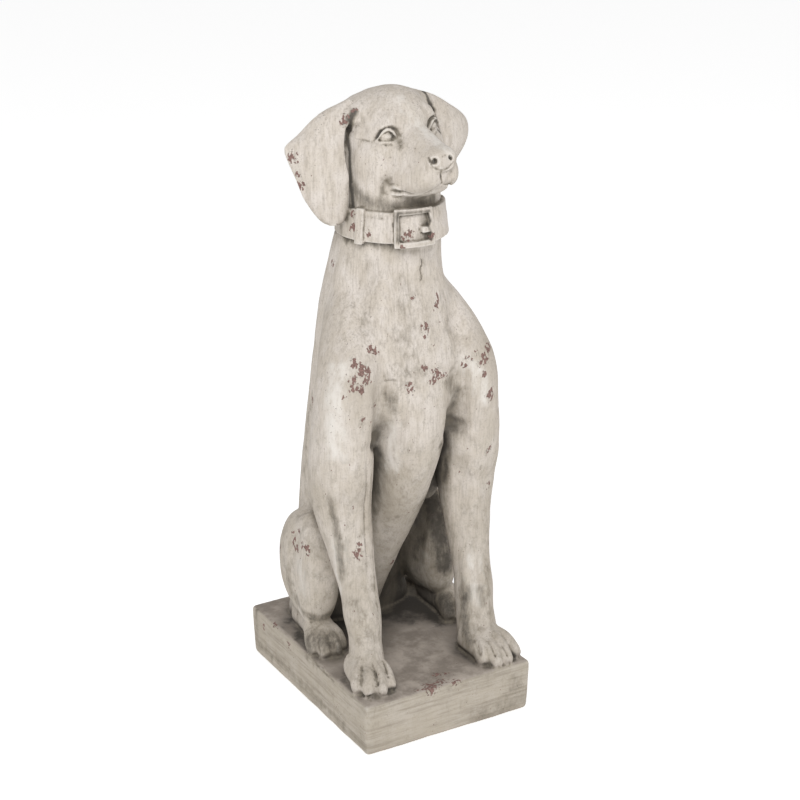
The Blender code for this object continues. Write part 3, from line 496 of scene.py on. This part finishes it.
def fuse(bm, voxel, smoothing):
    """Melts closed overlapping forms into one skin, and softens the joins between them."""
    holder = link(loose(bm, "masses"))
    remesh = holder.modifiers.new("melt", "REMESH")
    remesh.mode = "VOXEL"
    remesh.voxel_size = voxel
    soften = holder.modifiers.new("soften", "SMOOTH")
    soften.factor = 0.5
    soften.iterations = smoothing
    skin = applied(holder)
    bpy.data.objects.remove(holder)
    return skin


def add_trunk(bm):
    loft(bm, upright(RIBCAGE), FIGURE, square=2.3)
    loft(bm, upright(BREAST), FIGURE)


def add_flank(bm, side):
    """The fold of skin between the ribs and the elbow."""
    mass(bm, (side * 9.3, 2.6, 33.5), (3, 5, 10.5), FIGURE)


def add_foreleg(bm, side):
    lower = RIGHT_LEG if side == RIGHT else LEFT_LEG
    loft(bm, mirrored(SHOULDER, side) + lower, FIGURE, square=2.1)


def add_paw(bm, stations, toes):
    """The back of a paw and the toes that spread from it."""
    loft(bm, stations, FIGURE, square=2.3)
    for root_x, root_y, tip_x, tip_y in toes:
        length = [0, 0.3, 0.6, 0.85, 1, 1.06]
        heights = [2.7, 2.8, 2.2, 1.2, 0.6, 0.4]
        widths = [0.9, 1.05, 1.12, 1.02, 0.8, 0.5]
        rows = []
        for t, height, width in zip(length, heights, widths):
            x = root_x + (tip_x - root_x) * t
            y = root_y + (tip_y - root_y) * t
            rows.append((x, y, height, TOE_WIDTH * width, TOE_HEIGHT * width))
        loft(bm, rows, FIGURE, sides=16, steps=4)


def add_haunch(bm, side):
    mass(bm, (side * 11.9, 7.8, 13.2), (4.1, 7.5, 10.4), FIGURE, turn=(-4, 0, 0))
    loft(bm, mirrored(THIGH, side), FIGURE, square=2.2)


def add_tail(bm):
    loft(bm, TAIL, FIGURE, across=UP, sides=16)


def add_head(bm):
    loft(bm, upright(NECK), FIGURE, square=2.3)
    mass(bm, (0, 0.6, 0.5), (6.8, 7, 6), HEAD)
    mass(bm, (0, -0.4, -1.6), (8, 6.6, 5.6), HEAD)
    mass(bm, (0, 2.8, 0.4), (5.6, 4.6, 4.5), HEAD)
    mass(bm, (0, -3.4, -4), (7.2, 6.4, 8), HEAD)
    mass(bm, (0, 0, -10), (7.6, 7.8, 4.6), HEAD)
    mass(bm, (0, 12.2, -5.8), (2.6, 2.2, 2.5), HEAD)
    mass(bm, (-2.2, -0.4, 3.3), (4.6, 4.4, 2.8), HEAD, turn=(0, -14, 0))
    for rows, square in ((MUZZLE, 2.5), (BRIDGE, 2.6), (SNOUT, 2.2), (JAW, 2.3)):
        loft(bm, upright(rows), HEAD, square=square)
    for side in (RIGHT, LEFT):
        loft(bm, mirrored(LIP, side), HEAD)
        mass(bm, (side * 4.6, 1.8, -5.4), (3.8, 5.4, 6.6), HEAD)
        mass(bm, (side * 3.4, 4.4, 1.7), (2.6, 2.2, 1.5), HEAD, turn=(0, side * 20, 0))
        mass(bm, (side * 4.2, 4.2, -2.2), (2.4, 2.8, 1.8), HEAD)
        mass(bm, (side * 4.9, 3.3, -0.3), (1.9, 1.9, 1.9), HEAD)
        root = 0.0 if side == RIGHT else -0.3
        mass(bm, (side * 6.3, -1.7, 2.8 + root), (4, 3.2, 1.9), HEAD, turn=(0, side * 19, 0))
        mass(bm, (side * 4.4, -1.2, 3.5 + root), (3.4, 3.4, 2), HEAD, turn=(0, side * 20, 0))


def add_nose(bm):
    """The leather of the nose, which stays crisper than the skin around it."""
    nose = [(0, 13, -3.8, 2, 1.3), (0, 14.5, -3.95, 2, 1.3), (0, 15.1, -4, 1.3, 0.9)]
    loft(bm, nose, HEAD, square=2.4)


def add_ear(bm, edges):
    """The hanging leather, a bulging leaf between a front and a rear edge."""
    rows = spline(edges, 3)
    middles = (rows[:, :3] + rows[:, 3:]) / 2
    downs = np.gradient(middles, axis=0)
    rings = []
    columns = 10
    for row, down in zip(rows, downs):
        front, rear = Vector(row[:3]), Vector(row[3:])
        chord = rear - front
        out = chord.cross(Vector(down)).normalized()
        out *= math.copysign(1, out.y)
        outer, inner = [], []
        for k in range(columns + 1):
            t = k / columns
            arch = 4 * t * (1 - t)
            half = (EAR_RIM + (EAR_THICKNESS - EAR_RIM) * math.sqrt(arch)) / 2
            middle = front + chord * t + out * (EAR_BULGE * arch)
            outer.append(middle + out * half)
            inner.append(middle - out * half)
        rings.append(outer + inner[::-1])
    close_rings(bm, rings, HEAD)


def band(angles, middle, height, proud=0, inner=-1):
    """A strip of the collar between two angles, standing proud of the strap."""
    outer = COLLAR_THICKNESS + proud
    turn = abs(angles[1] - angles[0])
    steps = max(4, round(turn / 3))
    bm = bmesh.new()
    rings = []
    for angle in np.linspace(*np.radians(angles), steps + 1)[:steps if turn == 360 else None]:
        ring = []
        for grow, rise in ((inner, -1), (outer, -1), (outer, 1), (inner, 1)):
            place = middle + rise * height / 2
            grow -= COLLAR_FLARE * place / COLLAR_HEIGHT
            x = COLLAR_PLACE[0] + (COLLAR_ROUND[0] + grow) * math.sin(angle)
            y = COLLAR_PLACE[1] - (COLLAR_ROUND[1] + grow) * math.cos(angle)
            ring.append(Vector((x, y, COLLAR_PLACE[2] + place)))
        rings.append(ring)
    close_rings(bm, rings, FIGURE, endless=turn == 360)
    strip = loose(bm, "band")
    soften = strip.modifiers.new("worn edges", "BEVEL")
    soften.width = COLLAR_EDGE
    soften.segments = 2
    soften.limit_method = "ANGLE"
    soften.angle_limit = math.radians(50)
    return strip


def collar():
    """The strap round the neck with its keeper, its free end, and the frame and prong of its buckle."""
    left, right = BUCKLE
    bar = (BUCKLE_HEIGHT - BAR_HEIGHT) / 2
    return [
        band((-180, 180), 0, COLLAR_HEIGHT, inner=-2.5),
        band(KEEPER, 0, COLLAR_HEIGHT + 0.8, 0.5),
        band(STRAP_END, 0, COLLAR_HEIGHT + 0.5, 0.4),
        band((left, left + BUCKLE_BAR), 0, BUCKLE_HEIGHT, 0.85),
        band((right - BUCKLE_BAR, right), 0, BUCKLE_HEIGHT, 0.85),
        band((left + 1, right - 1), bar, BAR_HEIGHT, 0.8),
        band((left + 1, right - 1), -bar, BAR_HEIGHT, 0.8),
        band((right - 15, right - 3), -0.4, BAR_HEIGHT, 0.95),
    ]


def press(skin, frame, strokes):
    """Presses strokes into a skin on both sides."""
    for line, depth, width in strokes:
        for side in (RIGHT, LEFT):
            carve(skin, [frame @ Vector((side * x, y, z)) for x, y, z in line], depth, width)


def close_to(points, path, reach):
    """Which points lie within reach of a path, how close they are (1 on it), and how far along it."""
    path = np.array(path)
    low, high = path.min(axis=0) - reach, path.max(axis=0) + reach
    near = np.nonzero(((points > low) & (points < high)).all(axis=1))[0]
    lengths = np.linalg.norm(np.diff(path, axis=0), axis=1)
    gone = np.concatenate([[0], np.cumsum(lengths)])
    away = np.full(len(near), np.inf)
    along = np.zeros(len(near))
    for start, end, length, before in zip(path, path[1:], lengths, gone):
        way = (end - start) / length
        t = np.clip((points[near] - start) @ way, 0, length)
        apart = np.linalg.norm(points[near] - start - t[:, None] * way, axis=1)
        along = np.where(apart < away, (before + t) / gone[-1], along)
        away = np.minimum(away, apart)
    return near, np.clip(1 - (away / reach) ** 2, 0, 1) ** 2, along


def carve(skin, path, depth, width, fade=0.0):
    """Presses one stroke into a skin along its normals; each end runs out over the share fade of it."""
    if len(path) < 2:
        return
    points, normals = read(skin, "co"), read(skin, "normal")
    near, share, along = close_to(points, path, width * U)
    if fade:
        share *= np.clip(np.minimum(along, 1 - along) / fade, 0.12, 1)
    points[near] -= normals[near] * (share * depth * U)[:, None]
    skin.vertices.foreach_set("co", points.ravel())
    skin.update()


def make_plinth():
    bm = bmesh.new()
    bmesh.ops.create_cube(bm, size=1)
    for vert in bm.verts:
        lean = PLINTH_DRAFT if vert.co.z < 0 else 0
        vert.co.x = math.copysign(PLINTH_WIDTH / 2 - lean, vert.co.x)
        vert.co.y = math.copysign(PLINTH_DEPTH / 2 - lean, vert.co.y)
        vert.co.z = PLINTH_HEIGHT if vert.co.z > 0 else 0
    plinth = loose(bm, "plinth")
    bevel = plinth.modifiers.new("edges", "BEVEL")
    bevel.width = PLINTH_EDGE
    bevel.segments = 3
    return plinth


def lid(side, line):
    """A rounded rim that follows one eyelid and thins out at both corners."""
    bm = bmesh.new()
    path = [Vector(point) for point in spline(mirrored(line, side), 2)]
    last = len(path) - 1
    rings = []
    for i, point in enumerate(path):
        along = path[min(i + 1, last)] - path[max(i - 1, 0)]
        out = Vector((side * 0.55, 0.8, 0.1))
        out = (out - along * (out.dot(along) / along.dot(along))).normalized()
        across = out.cross(along).normalized()
        thick = LID_THICKNESS * (0.45 + 0.55 * math.sin(math.pi * i / last))
        ring = []
        for angle in np.linspace(0, math.tau, 6, endpoint=False):
            ring.append(point + thick * (1.4 * math.cos(angle) * out + math.sin(angle) * across))
        rings.append(ring)
    close_rings(bm, rings, HEAD)
    return loose(bm, "lid")


def eyes():
    """Eyeballs with their lids."""
    parts = []
    place, radii = EYEBALL
    for side in (RIGHT, LEFT):
        bm = bmesh.new()
        mass(bm, (side * place[0], place[1], place[2]), radii, HEAD, segments=16, rings=10)
        parts.append(loose(bm, "eyeball"))
        parts.append(lid(side, UPPER_LID))
        parts.append(lid(side, LOWER_LID))
    return parts


def value_noise(points, seed):
    """Smooth random values between -1 and 1, one lattice cell per unit."""
    cell = np.floor(points).astype(np.int64)
    part = points - cell
    part = part * part * (3 - 2 * part)
    total = np.zeros(len(points))
    for corner in range(8):
        step = np.array([corner & 1, corner >> 1 & 1, corner >> 2 & 1])
        key = (cell + step) @ np.array([73856093, 19349663, 83492791]) + seed * 6542989
        key = (key ^ (key >> 13)) * 1274126177 & 0x7FFFFFFF
        key = (key ^ (key >> 15)) * 668265263 & 0x7FFFFFFF
        share = np.prod(np.where(step, part, 1 - part), axis=1)
        total += share * (key / 0x3FFFFFFF - 1)
    return total


def read(mesh, what):
    values = np.empty(len(mesh.vertices) * 3)
    mesh.vertices.foreach_get(what, values)
    return values.reshape(-1, 3)


def melted(bm, forms, voxel):
    """One skin over the forms in bm and the objects in forms, with the small fillets that a mould leaves."""
    for form in forms:
        bm.from_mesh(applied(link(form)))
        bpy.data.objects.remove(form)
    return fuse(bm, voxel, LAST_SMOOTHING)


def body_skin():
    """Trunk, legs, paws and plinth as one skin."""
    bm = bmesh.new()
    add_trunk(bm)
    add_tail(bm)
    for side in (RIGHT, LEFT):
        add_foreleg(bm, side)
        add_flank(bm, side)
        add_haunch(bm, side)
    trunk = fuse(bm, VOXEL, TRUNK_SMOOTHING)
    press(trunk, FIGURE, BODY_STROKES)
    bm = bmesh.new()
    for back, toes in PAWS:
        add_paw(bm, back, toes)
    bm.from_mesh(trunk)
    skin = melted(bm, [make_plinth()], BODY_VOXEL)
    draw_relief(skin, FIGURE, BODY_RELIEF)
    weather(skin)
    return skin


def head_skin():
    """Neck, head, ears, eyes and collar as one skin."""
    bm = bmesh.new()
    add_head(bm)
    skull = fuse(bm, SKULL_VOXEL, SKULL_SMOOTHING)
    press(skull, HEAD, SOCKET)
    bm = bmesh.new()
    add_ear(bm, RIGHT_EAR)
    add_ear(bm, LEFT_EAR)
    add_nose(bm)
    bm.from_mesh(skull)
    skin = melted(bm, [*eyes(), *collar()], HEAD_VOXEL)
    draw_relief(skin, HEAD, HEAD_RELIEF)
    weather(skin)
    return skin


def draw_relief(skin, symmetry, relief):
    """Presses the strokes into the skin where the camera sees them, some on the hidden side too."""
    holder = link(bpy.data.objects.new("skin", skin))
    tree = BVHTree.FromObject(holder, bpy.context.evaluated_depsgraph_get())
    bpy.data.objects.remove(holder)
    flip = symmetry @ Matrix.Diagonal((-1, 1, 1, 1)) @ symmetry.inverted()
    for line, depth, width, *both in relief:
        path = seen_along(tree, line)
        carve(skin, path, depth, width, RUN_OUT)
        if both:
            carve(skin, [tree.find_nearest(flip @ place)[0] for place in path], depth, width, RUN_OUT)


def seen_at(tree, right, down):
    """The place on the skin that the camera sees at a pixel."""
    middle = PICTURE / 2
    way = Vector(((right - middle) / FOCAL_PIXELS, (middle - down) / FOCAL_PIXELS, -1)).normalized()
    return tree.ray_cast(CAMERA_PLACE, CAMERA_TURN @ way)[0]


def seen_along(tree, line):
    """The places on the skin that the camera sees along a line of pixels, given right, down in turn."""
    places = [seen_at(tree, *pixel) for pixel in zip(line[::2], line[1::2])]
    return [place for place in places if place is not None]


def weather(skin):
    """Uneven hand-worked surface: slow lumps and small pits everywhere."""
    points, normals = read(skin, "co"), read(skin, "normal")
    lumps = value_noise(points / 0.022, 3) * 0.0004 + value_noise(points / 0.009, 5) * 0.00018
    pits = value_noise(points / 0.0042, 9)
    lumps -= np.clip(pits - 0.55, 0, 1) * 0.0012
    points += normals * lumps[:, None]
    points[:, 2] = np.maximum(points[:, 2], 0)
    skin.vertices.foreach_set("co", points.ravel())
    skin.update()


def fewer_faces(skin, faces):
    record_hollows(skin)
    form = link(bpy.data.objects.new("skin", skin))
    fewer = form.modifiers.new("fewer", "DECIMATE")
    fewer.ratio = faces / (2 * len(skin.polygons))
    reduced = applied(form)
    form.modifiers.clear()
    form.data = reduced
    return form


def smoothed(values, ends, rounds):
    """Values averaged with their neighbours along the mesh's edges."""
    count = np.bincount(ends.ravel(), minlength=len(values))[:, None]
    for _ in range(rounds):
        total = np.zeros_like(values)
        for k in range(values.shape[1]):
            total[:, k] += np.bincount(ends[:, 0], values[ends[:, 1], k], len(values))
            total[:, k] += np.bincount(ends[:, 1], values[ends[:, 0], k], len(values))
        values = 0.5 * values + 0.5 * total / count
    return values


def edge_ends(mesh):
    """The two vertices of each edge."""
    ends = np.empty(len(mesh.edges) * 2, int)
    mesh.edges.foreach_get("vertices", ends)
    return ends.reshape(-1, 2)


def record_hollows(mesh):
    """Stores, at each vertex of an even skin, how hollow it is in small and in large."""
    points, normals = read(mesh, "co"), read(mesh, "normal")
    ends = edge_ends(mesh)
    step = np.median(np.linalg.norm(points[ends[:, 0]] - points[ends[:, 1]], axis=1))
    rounds = max(2, round(4 * (HOLLOW_REACH / step) ** 2))
    near = smoothed(points, ends, rounds)
    far = smoothed(near, ends, 6 * rounds)
    fine_hollow = ((near - points) * normals).sum(axis=1) / HOLLOW_DEPTHS[0]
    wide_hollow = ((far - points) * normals).sum(axis=1) / HOLLOW_DEPTHS[1]
    store(mesh, "fine_hollow", smoothed(fine_hollow[:, None], ends, 1)[:, 0])
    store(mesh, "wide_hollow", smoothed(wide_hollow[:, None], ends, 2)[:, 0])


def record_shelter(form):
    """Stores, at each vertex, how sheltered, chipped and rubbed it is, and how much dark wash and painted
    shade the marks lay on it.
    """
    mesh = form.data
    points, normals = read(mesh, "co"), read(mesh, "normal")
    faces = [tuple(face.vertices) for face in mesh.polygons]
    tree = BVHTree.FromPolygons([tuple(p) for p in points], faces)
    hidden = shelter(tree, points, normals)[:, None]
    store(mesh, "shelter", smoothed(hidden, edge_ends(mesh), 3)[:, 0])
    store(mesh, "chip", chipped(tree, points))
    store(mesh, "shade_and_stain", marked(tree, points, SHADE_AND_STAINS))
    store(mesh, "rubbed", marked(tree, points, RUBBED))


def chipped(tree, points):
    """How near each vertex is to the middle of a chip, from 0 to 1."""
    chips = []
    for right, down, reach in SEEN_CHIPS:
        place = seen_at(tree, right, down)
        if place is not None:
            chips.append((place, reach * (place - CAMERA_PLACE).length / FOCAL_PIXELS))
    for degrees, height, reach in HIDDEN_CHIPS:
        out = Vector((math.sin(math.radians(degrees)), -math.cos(math.radians(degrees)), 0))
        place = tree.ray_cast(out + Vector((0, 0, height)), -out)[0]
        if place is not None:
            chips.append((place, reach))
    field = np.zeros(len(points))
    for place, reach in chips:
        away = np.linalg.norm(points - np.array(place), axis=1)
        field = np.maximum(field, np.clip(1 - away / (2 * reach), 0, 1))
    return field


def marked(tree, points, marks):
    """How strongly the marks cover each vertex, from 0 to 1."""
    field = np.zeros(len(points))
    for reach, strength, *line in marks:
        path = seen_along(tree, line)
        if len(path) > 1:
            pixel = (path[0] - CAMERA_PLACE).length / FOCAL_PIXELS
            near, share, _ = close_to(points, path, 1.5 * reach * pixel)
            field[near] = np.maximum(field[near], strength * share)
    return field


def shelter(tree, points, normals):
    """Share of the sky that the statue itself hides from each vertex."""
    directions = [UP]
    for ring, lift in ((5, 0.75), (7, 0.25)):
        for k in range(ring):
            turn = math.tau * (k + 0.5 * (ring == 7)) / ring
            flat = math.sqrt(1 - lift * lift)
            directions.append(Vector((flat * math.cos(turn), flat * math.sin(turn), lift)))
    hidden = np.zeros(len(points))
    for i, (point, normal) in enumerate(zip(points, normals)):
        axis = Vector(normal)
        spin = UP.rotation_difference(axis)
        start = Vector(point) + axis * 0.001
        for direction in directions:
            way = spin @ direction
            hit = tree.ray_cast(start, way, SHELTER_REACH)
            if hit[0] is not None:
                hidden[i] += 1 - hit[3] / SHELTER_REACH
    return hidden / len(directions)


def store(mesh, name, values):
    layer = mesh.attributes.new(name, "FLOAT", "POINT")
    layer.data.foreach_set("value", values.astype(np.float32))


def add(tree, kind, values=(), **settings):
    """A new shader node with its settings, and its sockets set or joined."""
    made = tree.nodes.new("ShaderNode" + kind)
    for name, value in settings.items():
        setattr(made, name, value)
    for socket, value in values:
        if isinstance(value, bpy.types.NodeSocket):
            tree.links.new(value, made.inputs[socket])
        else:
            made.inputs[socket].default_value = value
    return made


def attribute(tree, name):
    return add(tree, "Attribute", attribute_name=name).outputs["Fac"]


def grain(place, stretch, scale, detail, rough, shift=(0, 0, 0)):
    """Noise over the casting, drawn out along an axis by unequal stretch."""
    moved = add(place.id_data, "Mapping", [("Vector", place), ("Scale", stretch), ("Location", shift)])
    made = add(place.id_data, "TexNoise", [("Vector", moved.outputs[0]), ("Scale", scale),
                                           ("Detail", detail), ("Roughness", rough)])
    return made.outputs["Fac"]


def between(value, low, high, start=0.0, end=1.0):
    """Rises smoothly from start to end as the value goes from low to high."""
    values = [("Value", value), ("From Min", low), ("From Max", high), ("To Min", start), ("To Max", end)]
    made = add(value.id_data, "MapRange", values, interpolation_type="SMOOTHSTEP")
    return made.outputs["Result"]


def maths(operation, first, second):
    return add(first.id_data, "Math", [(0, first), (1, second)], operation=operation).outputs[0]


def plus(first, second):
    return maths("ADD", first, second)


def minus(first, second):
    return maths("SUBTRACT", first, second)


def times(first, second):
    return maths("MULTIPLY", first, second)


def spread(value, width):
    """Noise round 0 instead of round a half, and width wide."""
    return times(minus(value, 0.5), width)


def blend(share, under, over):
    """One colour laid over another."""
    made = add(share.id_data, "Mix", [("Factor", share), (6, under), (7, over)], data_type="RGBA")
    return made.outputs[2]


def passing(share, first, second):
    """One value that passes into another."""
    return add(share.id_data, "Mix", [("Factor", share), (2, first), (3, second)]).outputs[0]


def layered(paint, *layers):
    """A colour with other coats laid over it in turn, each where its share says."""
    for share, coat in layers:
        paint = blend(share, paint, coat)
    return paint


def weathered_stone():
    """Pale brushed paint over a dark wash and terracotta, worn through at the chips, with painted shade in
    sheltered places and on undersides.
    """
    stone = bpy.data.materials.new("weathered_stone")
    stone.use_nodes = True
    tree = stone.node_tree
    place = add(tree, "TexCoord").outputs["Object"]
    level = add(tree, "SeparateXYZ", [(0, place)]).outputs["Z"]
    facing = add(tree, "SeparateXYZ", [(0, add(tree, "NewGeometry").outputs["Normal"])]).outputs["Z"]
    hollow = attribute(tree, "fine_hollow")
    chip_mark = attribute(tree, "chip")

    # The plinth, its top, and the foot of the dog just above it
    base = between(level, PLINTH_HEIGHT + 0.0035, PLINTH_HEIGHT + 0.0005)
    above = between(level, PLINTH_HEIGHT - 0.004, PLINTH_HEIGHT - 0.0005)
    top = times(times(base, above), between(facing, 0.55, 0.9))
    foot = times(between(level, PLINTH_HEIGHT + 0.013, PLINTH_HEIGHT + 0.003, 0, 0.9),
                 between(level, PLINTH_HEIGHT + 0.0002, PLINTH_HEIGHT + 0.002))

    # Brush streaks, upright on the dog and level on the plinth, then unevenness of several sizes
    fine_streak = passing(base, grain(place, (1, 1, 0.1), 420, 3, 0.6),
                          grain(place, (0.1, 0.1, 1), 380, 3, 0.6))
    broad_streak = passing(base, grain(place, (1, 1, 0.16), 150, 5, 0.65, (3, 1, 7)),
                           grain(place, (0.14, 0.14, 1), 130, 5, 0.65, (3, 1, 7)))
    blotch = grain(place, (1, 1, 0.75), 46, 6, 0.66, (5, 2, 1))
    cloud = grain(place, (1, 1, 0.6), 13, 4, 0.6, (2, 6, 4))
    speck = grain(place, (1, 1, 1), 480, 3, 0.6, (1, 8, 3))
    mottle = grain(place, (1, 1, 0.7), 90, 8, 0.7, (6, 3, 2))
    drawn = grain(place, (0.06, 0.06, 1), 190, 6, 0.7, (1, 5, 2))
    ragged = grain(place, (1, 1, 0.65), 330, 3, 0.5, (2, 2, 9))
    dots = grain(place, (1, 1, 1), 560, 1, 0.4, (4, 4, 4))
    patch = grain(place, (1, 1, 1), 20, 2, 0.5, (9, 3, 5))

    # Where the coats, the washes in hollows and the painted shade of sheltered places go
    cloudy = times(between(cloud, 0.42, 0.66), between(level, 0.48, 0.64, 0.6, 0.25))
    dirty = minus(plus(mottle, between(level, 0.6, 0.07, -0.05, 0.05)), times(base, 0.08))
    dust = plus(spread(speck, 1), spread(blotch, 0.8))
    rough_hollow = plus(plus(hollow, times(attribute(tree, "seam"), 1.7)), dust)
    wide_hollow = plus(attribute(tree, "wide_hollow"), spread(blotch, 1.4))
    dull = plus(spread(broad_streak, 0.15), spread(blotch, 0.45))
    sheltered = plus(attribute(tree, "shelter"), dull)
    edge = plus(hollow, times(speck, 0.8))
    rubbed = plus(plus(attribute(tree, "rubbed"), spread(mottle, 1.6)), spread(broad_streak, 1))
    shade_and_stain = plus(plus(attribute(tree, "shade_and_stain"), spread(fine_streak, 0.25)), spread(mottle, 0.9))
    top_tone = plus(times(broad_streak, 0.5), times(blotch, 0.5))
    # The plinth top's own tones, with painted shade where the statue shelters it
    top_paint_and_shade = layered(blend(between(top_tone, 0.4, 0.62), TOP_DARK, TOP_PALE),
                       (between(sheltered, 0.26, 0.52, 0, 0.98), DARK_WASH_AND_SHADE))

    # Chips with a dark rim, and dots round them and in patches
    spot = plus(between(chip_mark, 0, 0.45, 0, 0.24), between(chip_mark, 0.5, 0.95, 0, 0.12))
    chip_field = plus(ragged, spot)
    chip = between(chip_field, 0.73, 0.75)
    clay = blend(between(speck, 0.35, 0.65), CLAY, CLAY_DARK)
    crumbs = maths("MAXIMUM", between(chip_mark, 0.02, 0.3), between(patch, 0.6, 0.72))

    paint = layered(
        blend(between(blotch, 0.36, 0.62), PALE, CREAM),
        (cloudy, BUFF),
        (between(broad_streak, 0.44, 0.72, 0, 0.42), BUFF),
        (between(fine_streak, 0.44, 0.72, 0, 0.32), UMBER),
        (between(speck, 0.5, 0.72, 0, 0.3), UMBER),
        # Darker towards the bottom, and darker over the whole plinth
        (between(level, 0.5, 0.05, 0, 0.32), LOWER_TONE),
        (times(base, 0.4), LOWER_TONE),
        (between(dirty, 0.5, 0.74, 0, 0.5), MID_WASH_AND_SHADE),
        (times(base, between(drawn, 0.44, 0.72, 0, 0.55)), MID_WASH_AND_SHADE),
        # Painted shade on the faces that look downwards
        (between(facing, 0, -0.8, 0, 0.4), MID_WASH_AND_SHADE),
        (between(wide_hollow, 0.5, 1.8, 0, 0.45), MID_WASH_AND_SHADE),
        # Painted shade where the statue hides the sky from itself, lighter and then deeper
        (between(sheltered, 0.2, 0.5, 0, 0.42), MID_WASH_AND_SHADE),
        (between(sheltered, 0.36, 0.66, 0, 0.85), DARK_WASH_AND_SHADE),
        # The plinth top's paint and its painted shade, laid also on the dog's feet just above the plinth
        (top, top_paint_and_shade),
        (foot, top_paint_and_shade),
        (between(rough_hollow, 0.25, 1.2, 0, 0.7), MID_WASH_AND_SHADE),
        (between(rough_hollow, 0.8, 2.2, 0, 0.85), DARK_WASH_AND_SHADE),
        (between(edge, -0.1, -1.2, 0, 0.45), WORN),
        (between(rubbed, 0.25, 1, 0, 0.85), WORN),
        # Dark wash and painted shade from the marks: under the chin and collar, beside the ears and between
        # the legs
        (between(shade_and_stain, 0.15, 0.6, 0, 0.6), MID_WASH_AND_SHADE),
        (between(shade_and_stain, 0.45, 0.9, 0, 0.85), DARK_WASH_AND_SHADE),
        (between(chip_field, 0.7, 0.73, 0, 0.4), DARK_WASH_AND_SHADE),
        (chip, clay),
        (times(between(dots, 0.67, 0.73, 0, 0.75), crumbs), DARK_WASH_AND_SHADE),
    )
    shader = tree.nodes["Principled BSDF"].inputs
    tree.links.new(paint, shader["Base Color"])
    height = minus(plus(times(fine_streak, 0.6), times(speck, 0.5)), times(chip, 0.7))
    bump = add(tree, "Bump", [("Strength", 0.5), ("Distance", 0.0008), ("Height", height)])
    tree.links.new(bump.outputs[0], shader["Normal"])
    tree.links.new(between(speck, 0.2, 0.8, 0.72, 0.92), shader["Roughness"])
    shader["Specular IOR Level"].default_value = 0.25
    return stone


def joined(forms):
    """One object of several closed skins."""
    bm = bmesh.new()
    for form in forms:
        bm.from_mesh(form.data)
        bpy.data.objects.remove(form)
    whole = link(loose(bm, "dog_statue_casting"))
    whole.data.shade_smooth()
    return whole


def record_seam(form, other):
    """Stores how near each vertex of one skin is to another skin that it passes through."""
    mesh = form.data
    bpy.context.view_layer.update()
    points = read(mesh, "co")
    reach = [other.matrix_world @ Vector(corner) for corner in other.bound_box]
    low, high = min(corner.z for corner in reach) - SEAM, max(corner.z for corner in reach) + SEAM
    tree = BVHTree.FromObject(other, bpy.context.evaluated_depsgraph_get())
    nearness = np.zeros(len(points))
    for i in np.nonzero((points[:, 2] > low) & (points[:, 2] < high))[0]:
        found = tree.find_nearest(Vector(points[i]), SEAM)
        if found[0] is not None:
            nearness[i] = 1 - found[3] / SEAM
    store(mesh, "seam", nearness)


def dress():
    body = fewer_faces(body_skin(), BODY_FACES)
    head = fewer_faces(head_skin(), HEAD_FACES)
    record_seam(body, head)
    record_seam(head, body)
    casting = joined([body, head])
    record_shelter(casting)
    casting.data.materials.append(weathered_stone())
    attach(casting, "root")
    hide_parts("dog_statue")


def studio():
    """Pale floor, soft light from all round, and the camera where the photographer stood."""
    bm = bmesh.new()
    bmesh.ops.create_grid(bm, x_segments=1, y_segments=1, size=8)
    floor = link(loose(bm, "floor"))
    pale = bpy.data.materials.new("pale_floor")
    pale.use_nodes = True
    sockets = pale.node_tree.nodes["Principled BSDF"].inputs
    sockets["Base Color"].default_value = (0.9, 0.9, 0.9, 1)
    sockets["Roughness"].default_value = 0.9
    sockets["Emission Color"].default_value = (1, 1, 1, 1)
    sockets["Emission Strength"].default_value = FLOOR_GLOW
    floor.data.materials.append(pale)

    world = bpy.data.worlds.new("studio")
    world.use_nodes = True
    sky = world.node_tree.nodes["Background"].inputs
    sky["Color"].default_value = (1, 1, 1, 1)
    sky["Strength"].default_value = SKY
    scene = bpy.context.scene
    scene.world = world
    for name, place, size, power in LAMPS:
        data = bpy.data.lights.new(name, "AREA")
        data.shape = "DISK"
        data.size = size
        data.energy = power
        lamp = link(bpy.data.objects.new(name, data))
        lamp.location = place
        lamp.rotation_euler = (Vector(LAMP_TARGET) - Vector(place)).to_track_quat("-Z", "Y").to_euler()

    lens = bpy.data.cameras.new("camera")
    lens.lens = FOCAL_PIXELS / PICTURE * SENSOR
    lens.sensor_width = SENSOR
    camera = link(bpy.data.objects.new("camera", lens))
    camera.matrix_world = Matrix.Translation(CAMERA_PLACE) @ CAMERA_TURN
    scene.camera = camera
    scene.view_settings.view_transform = "Standard"


studio()
dress()
bpy.context.view_layer.update()
